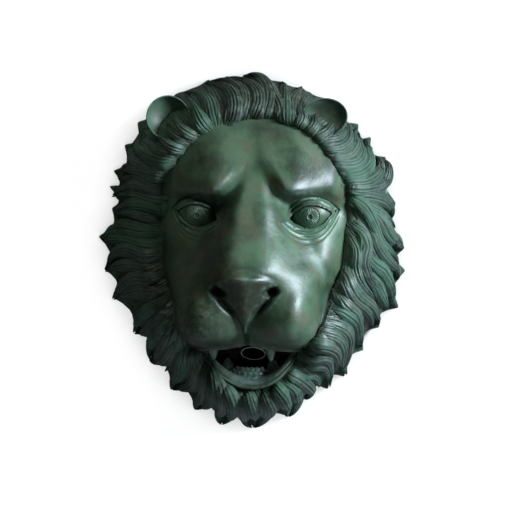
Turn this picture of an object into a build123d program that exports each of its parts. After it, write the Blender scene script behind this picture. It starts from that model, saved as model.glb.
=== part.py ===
from build123d import *

import os
from math import atan2, cos, degrees, exp, hypot, pi, radians, sin, sqrt

# Lion head wall fountain: a patinated bronze mask in welded cast sections, with a copper
# spout in the open mouth, a supply line with a quarter-turn valve behind it, and wall studs.
# Millimetres. The wall is the plane Y = 0, the face looks towards -Y and +Z is up. X = 0 is
# the middle of the face and the origin is the middle of the stud pattern. Depth is the
# distance in front of the wall, so a point at depth d has Y = -d.

os.makedirs("parts", exist_ok=True)

# Casting
wall = 6.0                  # thickness of the cast bronze
seam = 1.0                  # weld gap between two cast sections
seat_gap = 0.3              # gap where one piece is seated on another
running_gap = 0.1           # radial gap of turning and sliding pieces

# Face outline, seen from the front
face_half_width = 104.0
face_top_z = 165.0
temple_drop = 77.0          # how much lower the outline is at the temples
temple_power = 2.6
cheek_low_z = -25.0         # lower end of the straight side of the face
lip_line = [(0, -79), (20, -81), (44, -84), (62, -90), (75, -84), (88, -66), (98, -44)]
face_columns = 43
face_front_rows = 46
face_back_rows = 14

# Skull dome
skull_depth = 106.0
skull_edge_depth = 56.0
skull_middle_z = 45.0
skull_half_height = 95.0
forehead_fall = 24.0
forehead_edge_fall = 8.0
jowl_fall = 4.0
skull_power = 2.5
skull_round = 0.8

# Brow: the line of its ridge in X and Z, its slopes above and below, and where it starts and ends
brow_line = [(14, 95), (22, 92), (30, 89), (42, 88), (60, 89), (80, 89), (92, 84), (102, 68)]
brow_over, brow_under, brow_rise = 26.0, 7.5, 10.0
brow_start, brow_full, brow_fade, brow_end = 6.0, 26.0, 86.0, 106.0

# Forehead, sockets, eyes and cheek bones: place, half sizes and height
lobe_x, lobe_z, lobe_half_width, lobe_half_height, lobe_rise = 42.0, 124.0, 28.0, 22.0, 6.0
furrow_x, furrow_z, furrow_half_width, furrow_half_height, furrow_sink = 7.0, 108.0, 11.0, 34.0, 4.0
knob_x, knob_z, knob_half_width, knob_half_height, knob_rise = 23.0, 93.0, 12.0, 10.0, 4.0
socket_x, socket_z, socket_half_width, socket_half_height, socket_sink = 61.0, 61.0, 33.0, 16.0, 15.0
socket_tilt, socket_power = 8.0, 2.6
hollow_x, hollow_z, hollow_half_width, hollow_half_height, hollow_sink = 37.0, 62.0, 10.0, 14.0, 9.0
eye_x, eye_z = 63.0, 60.0
eyeball_radius, eyeball_centre_depth, eye_blend = 27.0, 67.5, 3.0
cheek_x, cheek_z, cheek_half_width, cheek_half_height, cheek_rise = 79.0, 26.0, 22.0, 22.0, 8.0

# Nose bridge, nose and muzzle
muzzle_shift = -4.5         # the muzzle is turned a little to the left
bridge_top_z = 88.0
bridge_top_depth = 109.0
bridge_half_width = 22.3
bridge_widening = 0.17
bridge_edge_drop = 13.0
bridge_edge_power = 2.6
bridge_over_fall, bridge_under_fall = 0.5, 1.3   # fall per mm above its top and below its end
bridge_low_z = 4.0
nose_depth = 172.0
nose_outline = [(0, 34), (6, 38), (12, 38), (20, 33), (30, 23), (45, 11), (58, 3)]   # way down, half width
nose_slope = 0.4
nose_wing, nose_wing_fall, nose_wing_power = 38.0, 15.0, 3.0
nose_top_drop, nose_top_power = 9.0, 2.2         # its upper edge is lower at the wings
nose_top_fall, nose_top_curve = 0.7, 0.05
nose_edge = 9.0
nose_edge_drop = 24.0
nostril_x, nostril_z, nostril_radius, nostril_sink = 29.0, -17.0, 6.0, 12.0
pad_x, pad_z = 40.0, -38.0
pad_inner_radius, pad_outer_radius, pad_over, pad_under = 62.0, 46.0, 60.0, 47.0
pad_base_depth, pad_rise = 62.0, 97.0
pad_power, pad_round = 2.3, 0.5
bridge_blend, nose_blend = 18.0, 5.0
pad_low_blend, pad_high_blend = 10.0, 24.0

# Lower jaw
jaw_half_width = 49.0
chin_power = 2.9
jaw_lip_z, jaw_corner_rise = -125.0, 34.0
chin_z, chin_corner_rise = -144.0, 45.0
jaw_centre_z, jaw_radius_x, jaw_radius_z = -108.0, 62.0, 44.0
jaw_base_depth, jaw_rise = 60.0, 62.0
jaw_columns, jaw_front_rows, jaw_back_rows = 17, 12, 6

# Mane: tips of the locks in X and Z, clockwise from the crown, and its cross-section
crown_tips = [(-119, 181), (-97, 189), (-61, 205), (-40, 209), (-10, 213), (26, 203), (47, 198),
              (77, 184), (92, 174)]
right_tips = [(111, 149), (125, 135), (142, 112), (153, 60), (164, 9), (165, -17), (158, -60),
              (136, -83), (118, -110), (97, -142)]
beard_tips = [(78, -157), (54, -170), (32, -190), (-9, -203), (-44, -201), (-76, -183), (-104, -159)]
left_tips = [(-126, -125), (-145, -94), (-171, -53), (-180, -21), (-186, 17), (-170, 50), (-173, 75),
             (-168, 93), (-155, 123), (-140, 149)]
crown_notch = 5.0           # how far a notch between two tips lies inside the tips
side_notch = 11.0
rim_depth = 9.0
hair_step = 1.0             # how far the hair stands proud of the face at the hairline
hair_roll = 10.0            # how much it swells between the hairline and the rim
lock_height = 4.0
shade_drop, shade_flat = 14.0, 0.4      # behind the left cheek the hair lies lower and flatter
shade_start, shade_full, shade_fade, shade_end = 195.0, 232.0, 292.0, 316.0
mane_power, mane_round = 1.5, 0.9
roll_power, ridge_power = 0.7, 0.8
mane_front_steps = 9
mane_back_steps = 7

# Ears
ear_radius = 25.0
ear_wall = 4.0
ear_cut = 6.0               # the cup is cut this far in front of its centre
left_ear_x, left_ear_z, left_ear_depth = -99.0, 163.0, 58.0
right_ear_x, right_ear_z, right_ear_depth = 76.0, 165.0, 60.0
left_ear_lean, right_ear_lean = 16.0, 3.0   # how far the cup opens towards +X, in degrees
ear_tip = 9.0               # how far the cup opens upwards, in degrees

# Teeth
gum_outer_radius, gum_inner_radius = 38.0, 28.0
gum_z, gum_height = -134.0, 13.0
gum_half_angle = 54.0
incisor_count = 6
incisor_width, incisor_thickness, incisor_height = 5.2, 4.5, 8.0
incisor_pitch = 9.0         # degrees from tooth to tooth
lower_fang_angle, lower_fang_radius, lower_fang_height = 44.0, 4.5, 15.0
upper_fang_x, upper_fang_radius = 30.0, 5.0
upper_fang_root_z, upper_fang_root, upper_fang_height = -78.0, 10.0, 18.0

# Copper spout and supply line
spout_radius, spout_bore = 14.0, 12.8
spout_end_depth, spout_end_z = 95.0, -98.0
spout_drop_angle, spout_bend_radius, spout_nose = 47.0, 26.0, 6.0
tube_radius, tube_bore = 11.0, 10.0
riser_depth = 34.0          # depth of the upright part of the supply line
socket_wall = 3.0
socket_depth = 12.0
elbow_stop = 15.0           # from an elbow's centre to the stop of its sockets
riser_gap = 14.0            # bare tube between an elbow and the valve nut
inlet_z = 62.0
tail_end_y = 58.0           # how far the supply tail stands behind the wall plane

# Valve
valve_length, valve_radius = 56.0, 17.0
thread_radius, thread_length = 14.5, 9.0
ball_radius, ball_bore = 13.0, 9.0
seat_height = 5.0
stem_radius, stem_tang, stem_tang_depth = 4.0, 3.0, 3.0
neck_radius, neck_length = 7.5, 5.0
packing_height = 2.5
lever_width, lever_length, lever_thickness = 14.0, 50.0, 3.0
lever_nut_across, lever_nut_height = 13.0, 4.5
valve_nut_across, valve_nut_height = 32.0, 14.0
olive_height, olive_radius = 4.0, 13.5

# Swivel nut at the supply end
flange_radius, flange_thickness = 13.0, 3.0
washer_bore, washer_thickness = 9.0, 2.0
swivel_thread_radius, swivel_thread_length = 13.2, 10.0
swivel_relief_radius = 13.6
swivel_lip = 4.0
swivel_across = 31.0

# Cross bar and saddle that carry the spout
bar_width, bar_thickness = 9.0, 5.0
bar_reach = 130.0
saddle_width, saddle_thickness, saddle_ear = 8.0, 2.5, 15.0
saddle_bolt_radius, saddle_bolt_head, saddle_bolt_head_height = 2.5, 4.5, 3.5
saddle_nut_across, saddle_nut_height = 8.0, 4.0

# Wall fixing
stud_spacing_x, stud_spacing_z = 190.0, 190.0
stud_radius, stud_length_in_wall = 5.0, 70.0
stud_thread_radius = 4.6    # where it is screwed into the lug and its nut
stud_shoulder_gap = 0.5     # from the lock nut to the start of the plain shank
lug_width, lug_thickness, lug_back_depth = 30.0, 8.0, 20.0
lug_inside = 14.0           # from the stud's axis to the lug's inner end
lug_outside = 90.0          # before it is trimmed to the inside of the mane
stud_nut_across, stud_nut_height = 16.0, 5.0


# Relief of the face and jaw

def smooth_max(a, b, blend):
    h = min(max(0.5 + 0.5 * (a - b) / blend, 0.0), 1.0)
    return b * (1 - h) + a * h + blend * h * (1 - h)


def ease(value, low, high):
    share = min(max((value - low) / (high - low), 0.0), 1.0)
    return share * share * (3 - 2 * share)


def along_line(points, value):
    """The second number of the points at this value of the first, straight between them."""
    for (a0, b0), (a1, b1) in zip(points, points[1:]):
        if value <= a1:
            return b0 + (b1 - b0) * max(value - a0, 0) / (a1 - a0)
    return points[-1][1]


def bump(x, z, centre_x, centre_z, half_x, half_z, tilt=0.0, power=2.0):
    c, s = cos(radians(tilt)), sin(radians(tilt))
    u = ((x - centre_x) * c + (z - centre_z) * s) / half_x
    v = ((z - centre_z) * c - (x - centre_x) * s) / half_z
    return exp(-(abs(u) ** power) - abs(v) ** power)


def brow(across, z):
    above = z - along_line(brow_line, across)
    reach = brow_over if above > 0 else brow_under
    length = ease(across, brow_start, brow_full) * (1 - ease(across, brow_fade, brow_end))
    return brow_rise * length * exp(-((above / reach) ** 2))


def skull(x, z):
    above = max(z - skull_middle_z, 0) / skull_half_height
    below = max(skull_middle_z - z, 0) / skull_half_height
    middle = skull_depth - forehead_fall * above**2 - jowl_fall * below**2
    edge = skull_edge_depth - forehead_edge_fall * above**2
    across = min(abs(x) / (face_half_width + 2), 1.0)
    return edge + (middle - edge) * (1 - across**skull_power) ** skull_round


def bridge(x, z):
    turn = min(max(bridge_top_z - z, 0) / bridge_top_z, 1.0)
    half = bridge_half_width + bridge_widening * min(max(bridge_top_z - z, 0), bridge_top_z)
    slope = (nose_depth - bridge_top_depth) / bridge_top_z
    middle = bridge_top_depth + slope * max(bridge_top_z - z, 0)
    middle -= bridge_over_fall * max(z - bridge_top_z, 0) + bridge_under_fall * max(bridge_low_z - z, 0)
    return middle - bridge_edge_drop * (abs(x - muzzle_shift * turn) / half) ** bridge_edge_power


def whisker_pads(x, z):
    across = abs(x - muzzle_shift)
    reach = pad_inner_radius if across < pad_x else pad_outer_radius
    u = min(abs(across - pad_x) / reach, 1.0)
    v = min(abs(z - pad_z) / (pad_over if z > pad_z else pad_under), 1.0)
    inside = max(1 - u**pad_power - v**pad_power, 0.0)
    return pad_base_depth + pad_rise * inside**pad_round


def nose(x, z):
    if z < -nose_outline[-1][0]:
        return 0.0
    across = abs(x - muzzle_shift)
    half = along_line(nose_outline, -z)
    over = max(z + nose_top_drop * (across / nose_wing) ** nose_top_power, 0)
    depth = nose_depth - nose_slope * max(-z, 0)
    depth -= nose_wing_fall * (across / nose_wing) ** nose_wing_power
    depth -= nose_top_fall * over + nose_top_curve * over**2
    outside = max((across - half) / nose_edge + 0.5, 0)
    return depth - nose_edge_drop * min(outside, 3) ** 2


def face_depth(x, z):
    across = abs(x)
    depth = skull(x, z) + brow(across, z)
    depth += lobe_rise * bump(across, z, lobe_x, lobe_z, lobe_half_width, lobe_half_height)
    depth -= furrow_sink * bump(x, z, furrow_x, furrow_z, furrow_half_width, furrow_half_height)
    depth += knob_rise * bump(across, z, knob_x, knob_z, knob_half_width, knob_half_height)
    socket = socket_x, socket_z, socket_half_width, socket_half_height
    depth -= socket_sink * bump(across, z, *socket, socket_tilt, socket_power)
    depth -= hollow_sink * bump(across, z, hollow_x, hollow_z, hollow_half_width, hollow_half_height)
    depth += cheek_rise * bump(across, z, cheek_x, cheek_z, cheek_half_width, cheek_half_height)
    off_eye = min(hypot(across - eye_x, z - eye_z) / eyeball_radius, 1.0)
    depth = smooth_max(depth, eyeball_centre_depth + eyeball_radius * sqrt(1 - off_eye**2), eye_blend)
    depth = smooth_max(depth, bridge(x, z), bridge_blend)
    pad_blend = pad_low_blend + (pad_high_blend - pad_low_blend) * ease(z, pad_z, 0)
    depth = smooth_max(depth, whisker_pads(x, z), pad_blend)
    depth = smooth_max(depth, nose(x, z), nose_blend)
    off_middle = abs(x - muzzle_shift)
    return depth - nostril_sink * bump(off_middle, z, nostril_x, nostril_z, nostril_radius, nostril_radius)


def jaw_depth(x, z):
    inside = 1 - (x / jaw_radius_x) ** 2 - ((z - jaw_centre_z) / jaw_radius_z) ** 2
    return jaw_base_depth + jaw_rise * sqrt(max(inside, 0.0))


def inner_depth(depth, x, z):
    """Depth of the inside of a cast wall: the lowest of a ball of the wall's radius rolled under it."""
    lowest = depth(x, z) - wall
    for share in (0.5, 0.95):
        for step in range(8):
            dx = share * wall * cos(step * pi / 4)
            dz = share * wall * sin(step * pi / 4)
            lowest = min(lowest, depth(x + dx, z + dz) - wall * sqrt(1 - share**2))
    return lowest


def face_top(x):
    return face_top_z - temple_drop * min(abs(x) / face_half_width, 1.0) ** temple_power


def face_bottom(x):
    return along_line([*lip_line, (face_half_width, cheek_low_z)], abs(x - muzzle_shift))


def jaw_top(x):
    return jaw_lip_z + jaw_corner_rise * (x / jaw_half_width) ** 2


def jaw_bottom(x):
    return chin_z + chin_corner_rise * (abs(x) / jaw_half_width) ** chin_power


def spread(low, high, count):
    return [low + (high - low) * i / (count - 1) for i in range(count)]


def relief_shell(depth, bottom, top, half_width, columns, front_rows, back_rows):
    """A cast shell under the relief: a ruled loft through upright sections, left to right."""
    sections = []
    for x in spread(-half_width, half_width, columns):
        front = [(x, -depth(x, z), z) for z in spread(bottom(x), top(x), front_rows)]
        back = [(x, -inner_depth(depth, x, z), z) for z in spread(top(x), bottom(x), back_rows)]
        sections.append(Wire.make_polygon([Vector(*p) for p in front + back], close=True))
    return Solid.make_loft(sections, ruled=True)


# Mane

def face_contour():
    """The closed outline of face and jaw, where the mane begins, clockwise from the crown."""
    xs = spread(-face_half_width, face_half_width, 2 * face_columns - 1)
    right = [x for x in reversed(xs) if x > jaw_half_width]
    left = [x for x in reversed(xs) if x < -jaw_half_width]
    chin = spread(jaw_half_width, -jaw_half_width, jaw_columns)
    points = [(x, face_top(x)) for x in xs if x >= 0]
    points += [(x, face_bottom(x)) for x in right]
    points += [(x, jaw_bottom(x)) for x in chin]
    points += [(x, face_bottom(x)) for x in left]
    return points + [(x, face_top(x)) for x in xs if x < 0]


contour = face_contour()


def hairline_radius(angle):
    """Distance from the middle of the face to its outline; the angle is clockwise from +Z."""
    dx, dz = sin(angle), cos(angle)
    found = []
    for (x0, z0), (x1, z1) in zip(contour, contour[1:] + contour[:1]):
        side0 = x0 * dz - z0 * dx
        side1 = x1 * dz - z1 * dx
        if side0 * side1 <= 0 and side0 != side1:
            share = side0 / (side0 - side1)
            along = (x0 + share * (x1 - x0)) * dx + (z0 + share * (z1 - z0)) * dz
            found.append(along)
    return max(found)


def hairline_depth(angle):
    radius = hairline_radius(angle) - wall
    x, z = radius * sin(angle), radius * cos(angle)
    on_jaw = abs(x) < jaw_half_width and z < jaw_top(x)
    return jaw_depth(x, z) if on_jaw else face_depth(x, z)


def shaded(angle):
    """1 behind the left cheek, where the hair lies low, and 0 elsewhere."""
    turn = degrees(angle) % 360
    return ease(turn, shade_start, shade_full) * (1 - ease(turn, shade_fade, shade_end))


def mane_section(angle, outer_radius, ridge):
    """One radial section of the mane: hairline to rim along the front, and back along the inside."""
    inner = hairline_radius(angle) + seam
    width = outer_radius - inner
    shade = shaded(angle)
    high = hairline_depth(angle) + hair_step - shade_drop * shade
    roll = hair_roll * (1 - shade_flat * shade)

    def front_depth(share):
        share = min(max(share, 0.0), 1.0)
        fall = (1 - share**mane_power) ** mane_round
        swell = roll * sin(pi * share**roll_power) + ridge * lock_height * sin(pi * share**ridge_power)
        return rim_depth + (high - rim_depth) * fall + swell

    def at(share, depth):
        radius = inner + width * share
        return Vector(radius * sin(angle), -depth, radius * cos(angle))

    front = [at(s, front_depth(s)) for s in spread(0, 1, mane_front_steps)]
    land = 1 - wall / width
    back = [at(1, 0.0), at(land, 0.0)]
    for share in spread(land, 0, mane_back_steps):
        near = [front_depth(share + step * wall / width) for step in (-1, 0, 1)]
        back.append(at(share, min(near) - wall))
    return Wire.make_polygon(front + back, close=True)


def polar(point):
    return atan2(point[0], point[1]) % (2 * pi), hypot(*point)


def valley(before, after, notch):
    """The notch between two tips, as an angle and a radius."""
    (a0, r0), (a1, r1) = polar(before), polar(after)
    half_turn = ((a1 - a0) % (2 * pi)) / 2
    return a0 + half_turn, (r0 + r1) / 2 - notch


def mane_sector(before, tips, after, notch):
    """The part of the mane that ends in these tips, from the notch before them to the one after."""
    points = [before, *tips, after]
    notches = [valley(p, q, notch) for p, q in zip(points, points[1:])]
    stations = [(*notches[0], -1)]
    for tip, following in zip(tips, notches[1:]):
        stations += [(*polar(tip), 1), (*following, -1)]
    sections = [mane_section(*stations[0])]
    for (a0, r0, _), (a1, r1, ridge) in zip(stations, stations[1:]):
        turn = (a1 - a0) % (2 * pi)
        sections.append(mane_section(a0 + turn / 2, (r0 + r1) / 2, 0))
        sections.append(mane_section(a0 + turn, r1, ridge))
    return Solid.make_loft(sections, ruled=True)


def nearest_solid(shape, point):
    return min(shape.solids(), key=lambda s: s.distance_to(Vertex(*point)))


def seat_forward(shape, casting):
    """Move a piece forward until it is seated on the inside of a casting."""
    box = shape.bounding_box()
    size = box.size
    ahead = Box(size.X + 2 * wall, 2 * nose_depth, size.Z + 2 * wall)
    near = casting & Pos(*box.center()) * ahead
    gap = shape.distance_to(near)
    while gap > 1.1 * seat_gap:
        shape = Pos(0, seat_gap - gap, 0) * shape
        gap = shape.distance_to(near)
    return shape


# Ears and teeth

def ear(x, z, depth, lean, castings):
    """A cast cup, trimmed where it stands on the mane."""
    cup = Sphere(ear_radius) - Sphere(ear_radius - ear_wall)
    keep = Pos(0, 0, ear_cut - ear_radius) * Box(3 * ear_radius, 3 * ear_radius, 2 * ear_radius)
    cup = cup & keep
    aimed = Pos(x, -depth, z) * Rot(90 - ear_tip, 0, 0) * Rot(0, lean, 0) * cup
    for casting in castings:
        aimed -= casting
    return max(aimed.solids(), key=lambda s: s.bounding_box().max.Z)


def lower_teeth(jaw):
    start = Pos(0, gum_outer_radius - jaw_base_depth, 0)
    arch = Cylinder(gum_outer_radius, gum_height) - Cylinder(gum_inner_radius, 2 * gum_height)
    reach = 2 * gum_outer_radius
    corner = reach * sin(radians(gum_half_angle)), -reach * cos(radians(gum_half_angle))
    far = [(corner[0], -reach), (-corner[0], -reach)]
    wedge = Polyline((0, 0), corner, *far, (-corner[0], corner[1]), close=True)
    arch = arch & extrude(make_face(wedge), gum_height, both=True)
    teeth = Pos(0, 0, gum_z + gum_height / 2) * arch
    ring = (gum_outer_radius + gum_inner_radius) / 2
    top = gum_z + gum_height
    for i in range(incisor_count):
        turn = (i - (incisor_count - 1) / 2) * incisor_pitch
        tooth = Pos(0, -ring, top) * Box(incisor_width, incisor_thickness, 2 * incisor_height)
        teeth += Rot(0, 0, turn) * tooth
    for side in (-1, 1):
        fang = Pos(0, -ring, top + lower_fang_height / 2 - 1) * Cone(
            lower_fang_radius, lower_fang_radius / 5, lower_fang_height + 2
        )
        teeth += Rot(0, 0, side * lower_fang_angle) * fang
    return seat_forward((start * teeth).solid(), jaw)


def upper_fang(side, face):
    """A fang behind the upper lip, with a round root seated on the inside of the lip."""
    root = Pos(0, 0, upper_fang_root / 2) * Cylinder(upper_fang_radius, upper_fang_root)
    cone = Cone(upper_fang_radius / 6, upper_fang_radius, upper_fang_height)
    point = Pos(0, 0, -upper_fang_height / 2) * cone
    start = Pos(muzzle_shift + side * upper_fang_x, -jaw_base_depth, upper_fang_root_z)
    return seat_forward((start * (root + point)).solid(), face)


# Spout and supply line

bend = radians(spout_drop_angle)
elbow_reach = elbow_stop + socket_depth
spout_z = spout_end_z + spout_bend_radius * (1 - cos(bend)) + spout_nose * sin(bend)
bend_depth = spout_end_depth - spout_bend_radius * sin(bend) - spout_nose * cos(bend)
spout_back_depth = riser_depth + elbow_stop
valve_low_z = spout_z + elbow_reach + riser_gap
valve_high_z = valve_low_z + valve_length
valve_z = (valve_low_z + valve_high_z) / 2


def upright(z):
    return Pos(0, -riser_depth, z)


def along_y(depth, z):
    """A place on a line towards the wall: the local Z axis points to +Y."""
    return Pos(0, -depth, z) * Rot(-90, 0, 0)


def tube(outer, bore, length):
    return Pos(0, 0, length / 2) * (Cylinder(outer, length) - Cylinder(bore, 2 * length))


def hex_prism(across, height):
    return extrude(RegularPolygon(across / 2, 6, major_radius=False), height)


def spout_pipe():
    straight = Line((0, -spout_back_depth, spout_z), (0, -bend_depth, spout_z))
    centre = Vector(0, -bend_depth, spout_z - spout_bend_radius)
    middle = centre + Vector(0, -sin(bend / 2), cos(bend / 2)) * spout_bend_radius
    foot = centre + Vector(0, -sin(bend), cos(bend)) * spout_bend_radius
    drop = ThreePointArc(straight @ 1, middle, foot)
    nose_line = Line(foot, foot + Vector(0, -cos(bend), -sin(bend)) * spout_nose)
    path = Wire([straight, drop, nose_line])
    ring = Plane(path @ 0, z_dir=path % 0) * (Circle(spout_radius) - Circle(spout_bore))
    return sweep(ring, path=path)


def elbow(z, up, front_outer, front_fit, up_outer, up_fit, forward):
    """A socket elbow on the riser: one socket upright, one towards the front or the wall."""
    lying = Rot(90, 0, 0) if forward else Rot(-90, 0, 0)
    standing = Rot(0, 0, 0) if up else Rot(180, 0, 0)
    body = Sphere(max(front_outer, up_outer))
    body += lying * Pos(0, 0, elbow_reach / 2) * Cylinder(front_outer, elbow_reach)
    body += standing * Pos(0, 0, elbow_reach / 2) * Cylinder(up_outer, elbow_reach)
    for turn, fit in ((lying, front_fit), (standing, up_fit)):
        body -= turn * Pos(0, 0, elbow_reach) * Cylinder(fit + running_gap / 2, 2 * socket_depth)
        body -= turn * Pos(0, 0, elbow_stop / 2) * Cylinder(tube_bore, elbow_stop + 2 * tube_bore)
    return upright(z) * body


def riser(low, high):
    return upright(low) * tube(tube_radius, tube_bore, high - low)


def valve_body():
    core_length = valve_length - 2 * thread_length
    body = Cylinder(valve_radius, core_length) + Cylinder(thread_radius, valve_length)
    chamber = ball_radius + running_gap
    neck_end = valve_radius + neck_length
    body += Rot(-90, 0, 0) * Pos(0, 0, neck_end / 2) * Cylinder(neck_radius, neck_end)
    body -= Cylinder(chamber, 2 * (ball_bore + seat_height))
    body -= Cylinder(ball_bore, valve_length)
    for end in (-1, 1):
        socket = Cylinder(tube_radius + running_gap / 2, 2 * socket_depth)
        body -= Pos(0, 0, end * valve_length / 2) * socket
    body -= Rot(-90, 0, 0) * Pos(0, 0, neck_end) * Cylinder(stem_radius + running_gap / 2, 2 * neck_end)
    return upright(valve_z) * body


def valve_seats():
    ring = tube(ball_radius, ball_bore, seat_height)
    ring -= Pos(0, 0, -ball_bore) * Sphere(ball_radius + running_gap / 2)
    raised = Pos(0, 0, ball_bore) * ring
    return [upright(valve_z) * raised, upright(valve_z) * Rot(180, 0, 0) * raised]


def valve_ball():
    slot = Pos(0, ball_radius, 0) * Box(stem_tang + running_gap, 2 * stem_tang_depth, 2 * ball_radius)
    return upright(valve_z) * (Sphere(ball_radius) - Cylinder(ball_bore, 3 * ball_radius) - slot)


lever_face = valve_radius + neck_length + packing_height + running_gap
stem_end = lever_face + lever_thickness + lever_nut_height


def valve_stem():
    foot = ball_radius + 1
    shaft = Pos(0, 0, (foot + stem_end) / 2) * Cylinder(stem_radius, stem_end - foot)
    tang_low = ball_radius - stem_tang_depth + running_gap
    tang = Pos(0, 0, (tang_low + foot) / 2) * Box(stem_tang, 1.6 * stem_radius, foot - tang_low)
    return along_y(riser_depth, valve_z) * (shaft + tang)


def packing_nut():
    ring = hex_prism(2 * neck_radius, packing_height)
    ring -= Cylinder(stem_radius + running_gap, 4 * packing_height)
    return along_y(riser_depth, valve_z) * Pos(0, 0, valve_radius + neck_length) * ring


def valve_lever():
    """A flat lever that points up, along the flow, when the valve is open."""
    plate = SlotCenterToCenter(lever_length, lever_width)
    plate = Pos(lever_length / 2, 0) * plate - Circle(stem_radius + running_gap / 4)
    plate -= Pos(lever_length, 0) * Circle(lever_width / 6)
    blade = Rot(0, 0, -90) * extrude(plate, lever_thickness)
    return along_y(riser_depth, valve_z) * Pos(0, 0, lever_face) * blade


def lever_nut():
    nut = hex_prism(lever_nut_across, lever_nut_height)
    nut -= Cylinder(stem_radius + running_gap / 4, 4 * lever_nut_height)
    return along_y(riser_depth, valve_z) * Pos(0, 0, lever_face + lever_thickness) * nut


def valve_nut():
    """A compression nut that sits over the end of the valve, local Z towards the valve."""
    nut = hex_prism(valve_nut_across, valve_nut_height)
    nut -= Cylinder(tube_radius + running_gap, 4 * valve_nut_height)
    cup = valve_nut_height - thread_length - olive_height
    cavity = Cylinder(thread_radius + running_gap, valve_nut_height)
    return nut - Pos(0, 0, cup + valve_nut_height / 2) * cavity


def olive():
    return tube(olive_radius, tube_radius + running_gap / 2, olive_height - running_gap)


nut_offset = valve_nut_height - thread_length
valve_ends = [upright(valve_low_z), upright(valve_high_z) * Rot(180, 0, 0)]

tail_start_depth = riser_depth - elbow_stop


def supply_tail():
    length = tail_start_depth + tail_end_y
    tail = tube(tube_radius, tube_bore, length)
    tail += Pos(0, 0, length) * tube(flange_radius, tube_bore, flange_thickness)
    return along_y(tail_start_depth, inlet_z) * tail


def behind_wall(distance):
    return along_y(-distance, inlet_z)


def fibre_washer():
    return behind_wall(tail_end_y + flange_thickness) * tube(flange_radius, washer_bore, washer_thickness)


def swivel_nut():
    relief = swivel_lip + seat_gap + flange_thickness + washer_thickness
    length = relief + swivel_thread_length
    nut = hex_prism(swivel_across, length) - Cylinder(tube_radius + running_gap, 4 * length)
    nut -= Pos(0, 0, swivel_lip) * tube(swivel_relief_radius, 0.5 * tube_bore, relief - swivel_lip)
    nut -= Pos(0, 0, relief) * tube(swivel_thread_radius, 0.5 * tube_bore, swivel_thread_length)
    return behind_wall(tail_end_y - swivel_lip - seat_gap) * nut


# Cross bar and saddle

saddle_depth = (riser_depth + elbow_reach + bend_depth) / 2
bar_top_z = spout_z - spout_radius - running_gap
bolt_x = spout_radius + saddle_thickness + saddle_ear / 2


def cross_bar(castings):
    bar = Box(2 * bar_reach, bar_width, bar_thickness)
    bar = Pos(0, -saddle_depth, bar_top_z - bar_thickness / 2) * bar
    for side in (-1, 1):
        hole = Cylinder(saddle_bolt_radius + running_gap, 4 * bar_thickness)
        bar -= Pos(side * bolt_x, -saddle_depth, bar_top_z) * hole
    for casting in castings:
        bar -= casting
    return nearest_solid(bar, (0, -saddle_depth, bar_top_z))


def pipe_saddle():
    bore = spout_radius + running_gap
    outer = bore + saddle_thickness
    height = spout_z - bar_top_z
    strap = Circle(outer) + Pos(0, -height / 2) * Rectangle(2 * outer, height)
    ears = Pos(0, -height + saddle_thickness / 2) * Rectangle(2 * (outer + saddle_ear), saddle_thickness)
    strap = strap + ears - Circle(bore) - Pos(0, -height) * Rectangle(2 * bore, 2 * height)
    strap &= Pos(0, outer) * Rectangle(4 * (outer + saddle_ear), 2 * (outer + height))
    saddle = Pos(0, 0, -saddle_width / 2) * extrude(strap, saddle_width)
    for side in (-1, 1):
        hole = Rot(90, 0, 0) * Cylinder(saddle_bolt_radius + running_gap, 4 * height)
        saddle -= Pos(side * bolt_x, -height, 0) * hole
    return Pos(0, -saddle_depth, spout_z) * Rot(90, 0, 0) * saddle


def saddle_bolt(x):
    length = saddle_thickness + bar_thickness + saddle_nut_height + 2
    bolt = Pos(0, 0, -length / 2) * Cylinder(saddle_bolt_radius, length)
    bolt += hex_prism(2 * saddle_bolt_head, saddle_bolt_head_height)
    return Pos(x, -saddle_depth, bar_top_z + saddle_thickness) * bolt


def saddle_nut(x):
    nut = hex_prism(saddle_nut_across, saddle_nut_height)
    nut -= Cylinder(saddle_bolt_radius + running_gap / 2, 4 * saddle_nut_height)
    return Pos(x, -saddle_depth, bar_top_z - bar_thickness - saddle_nut_height) * nut


# Wall fixing

def lug(side_x, side_z, castings):
    """A plate inside the mane, trimmed to the cast wall, with a tapped hole for a stud."""
    x, z = side_x * stud_spacing_x / 2, side_z * stud_spacing_z / 2
    length = lug_inside + lug_outside
    plate = Pos((lug_outside - lug_inside) / 2, 0) * Rectangle(length, lug_width)
    plate -= Circle(stud_thread_radius + running_gap / 2)
    turn = degrees(atan2(z, x))
    solid = Pos(x, -lug_back_depth, z) * Rot(90, 0, 0) * Rot(0, 0, turn) * extrude(plate, lug_thickness)
    for casting in castings:
        solid -= casting
    return nearest_solid(solid, (x, -lug_back_depth, z))


def wall_stud(side_x, side_z):
    """A stud with its axis along local Z from the lug's front face: threaded end, then plain shank."""
    thread = lug_thickness + stud_nut_height + stud_shoulder_gap
    shank = stud_length_in_wall + lug_back_depth + lug_thickness - thread
    stud = Pos(0, 0, thread / 2) * Cylinder(stud_thread_radius, thread)
    stud += Pos(0, 0, thread + shank / 2) * Cylinder(stud_radius, shank)
    x, z = side_x * stud_spacing_x / 2, side_z * stud_spacing_z / 2
    return Pos(x, -(lug_back_depth + lug_thickness), z) * Rot(-90, 0, 0) * stud


def stud_nut(side_x, side_z):
    nut = hex_prism(stud_nut_across, stud_nut_height)
    nut -= Cylinder(stud_thread_radius + running_gap / 2, 4 * stud_nut_height)
    x, z = side_x * stud_spacing_x / 2, side_z * stud_spacing_z / 2
    return Pos(x, -lug_back_depth, z) * Rot(-90, 0, 0) * nut


# Assembly

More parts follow.
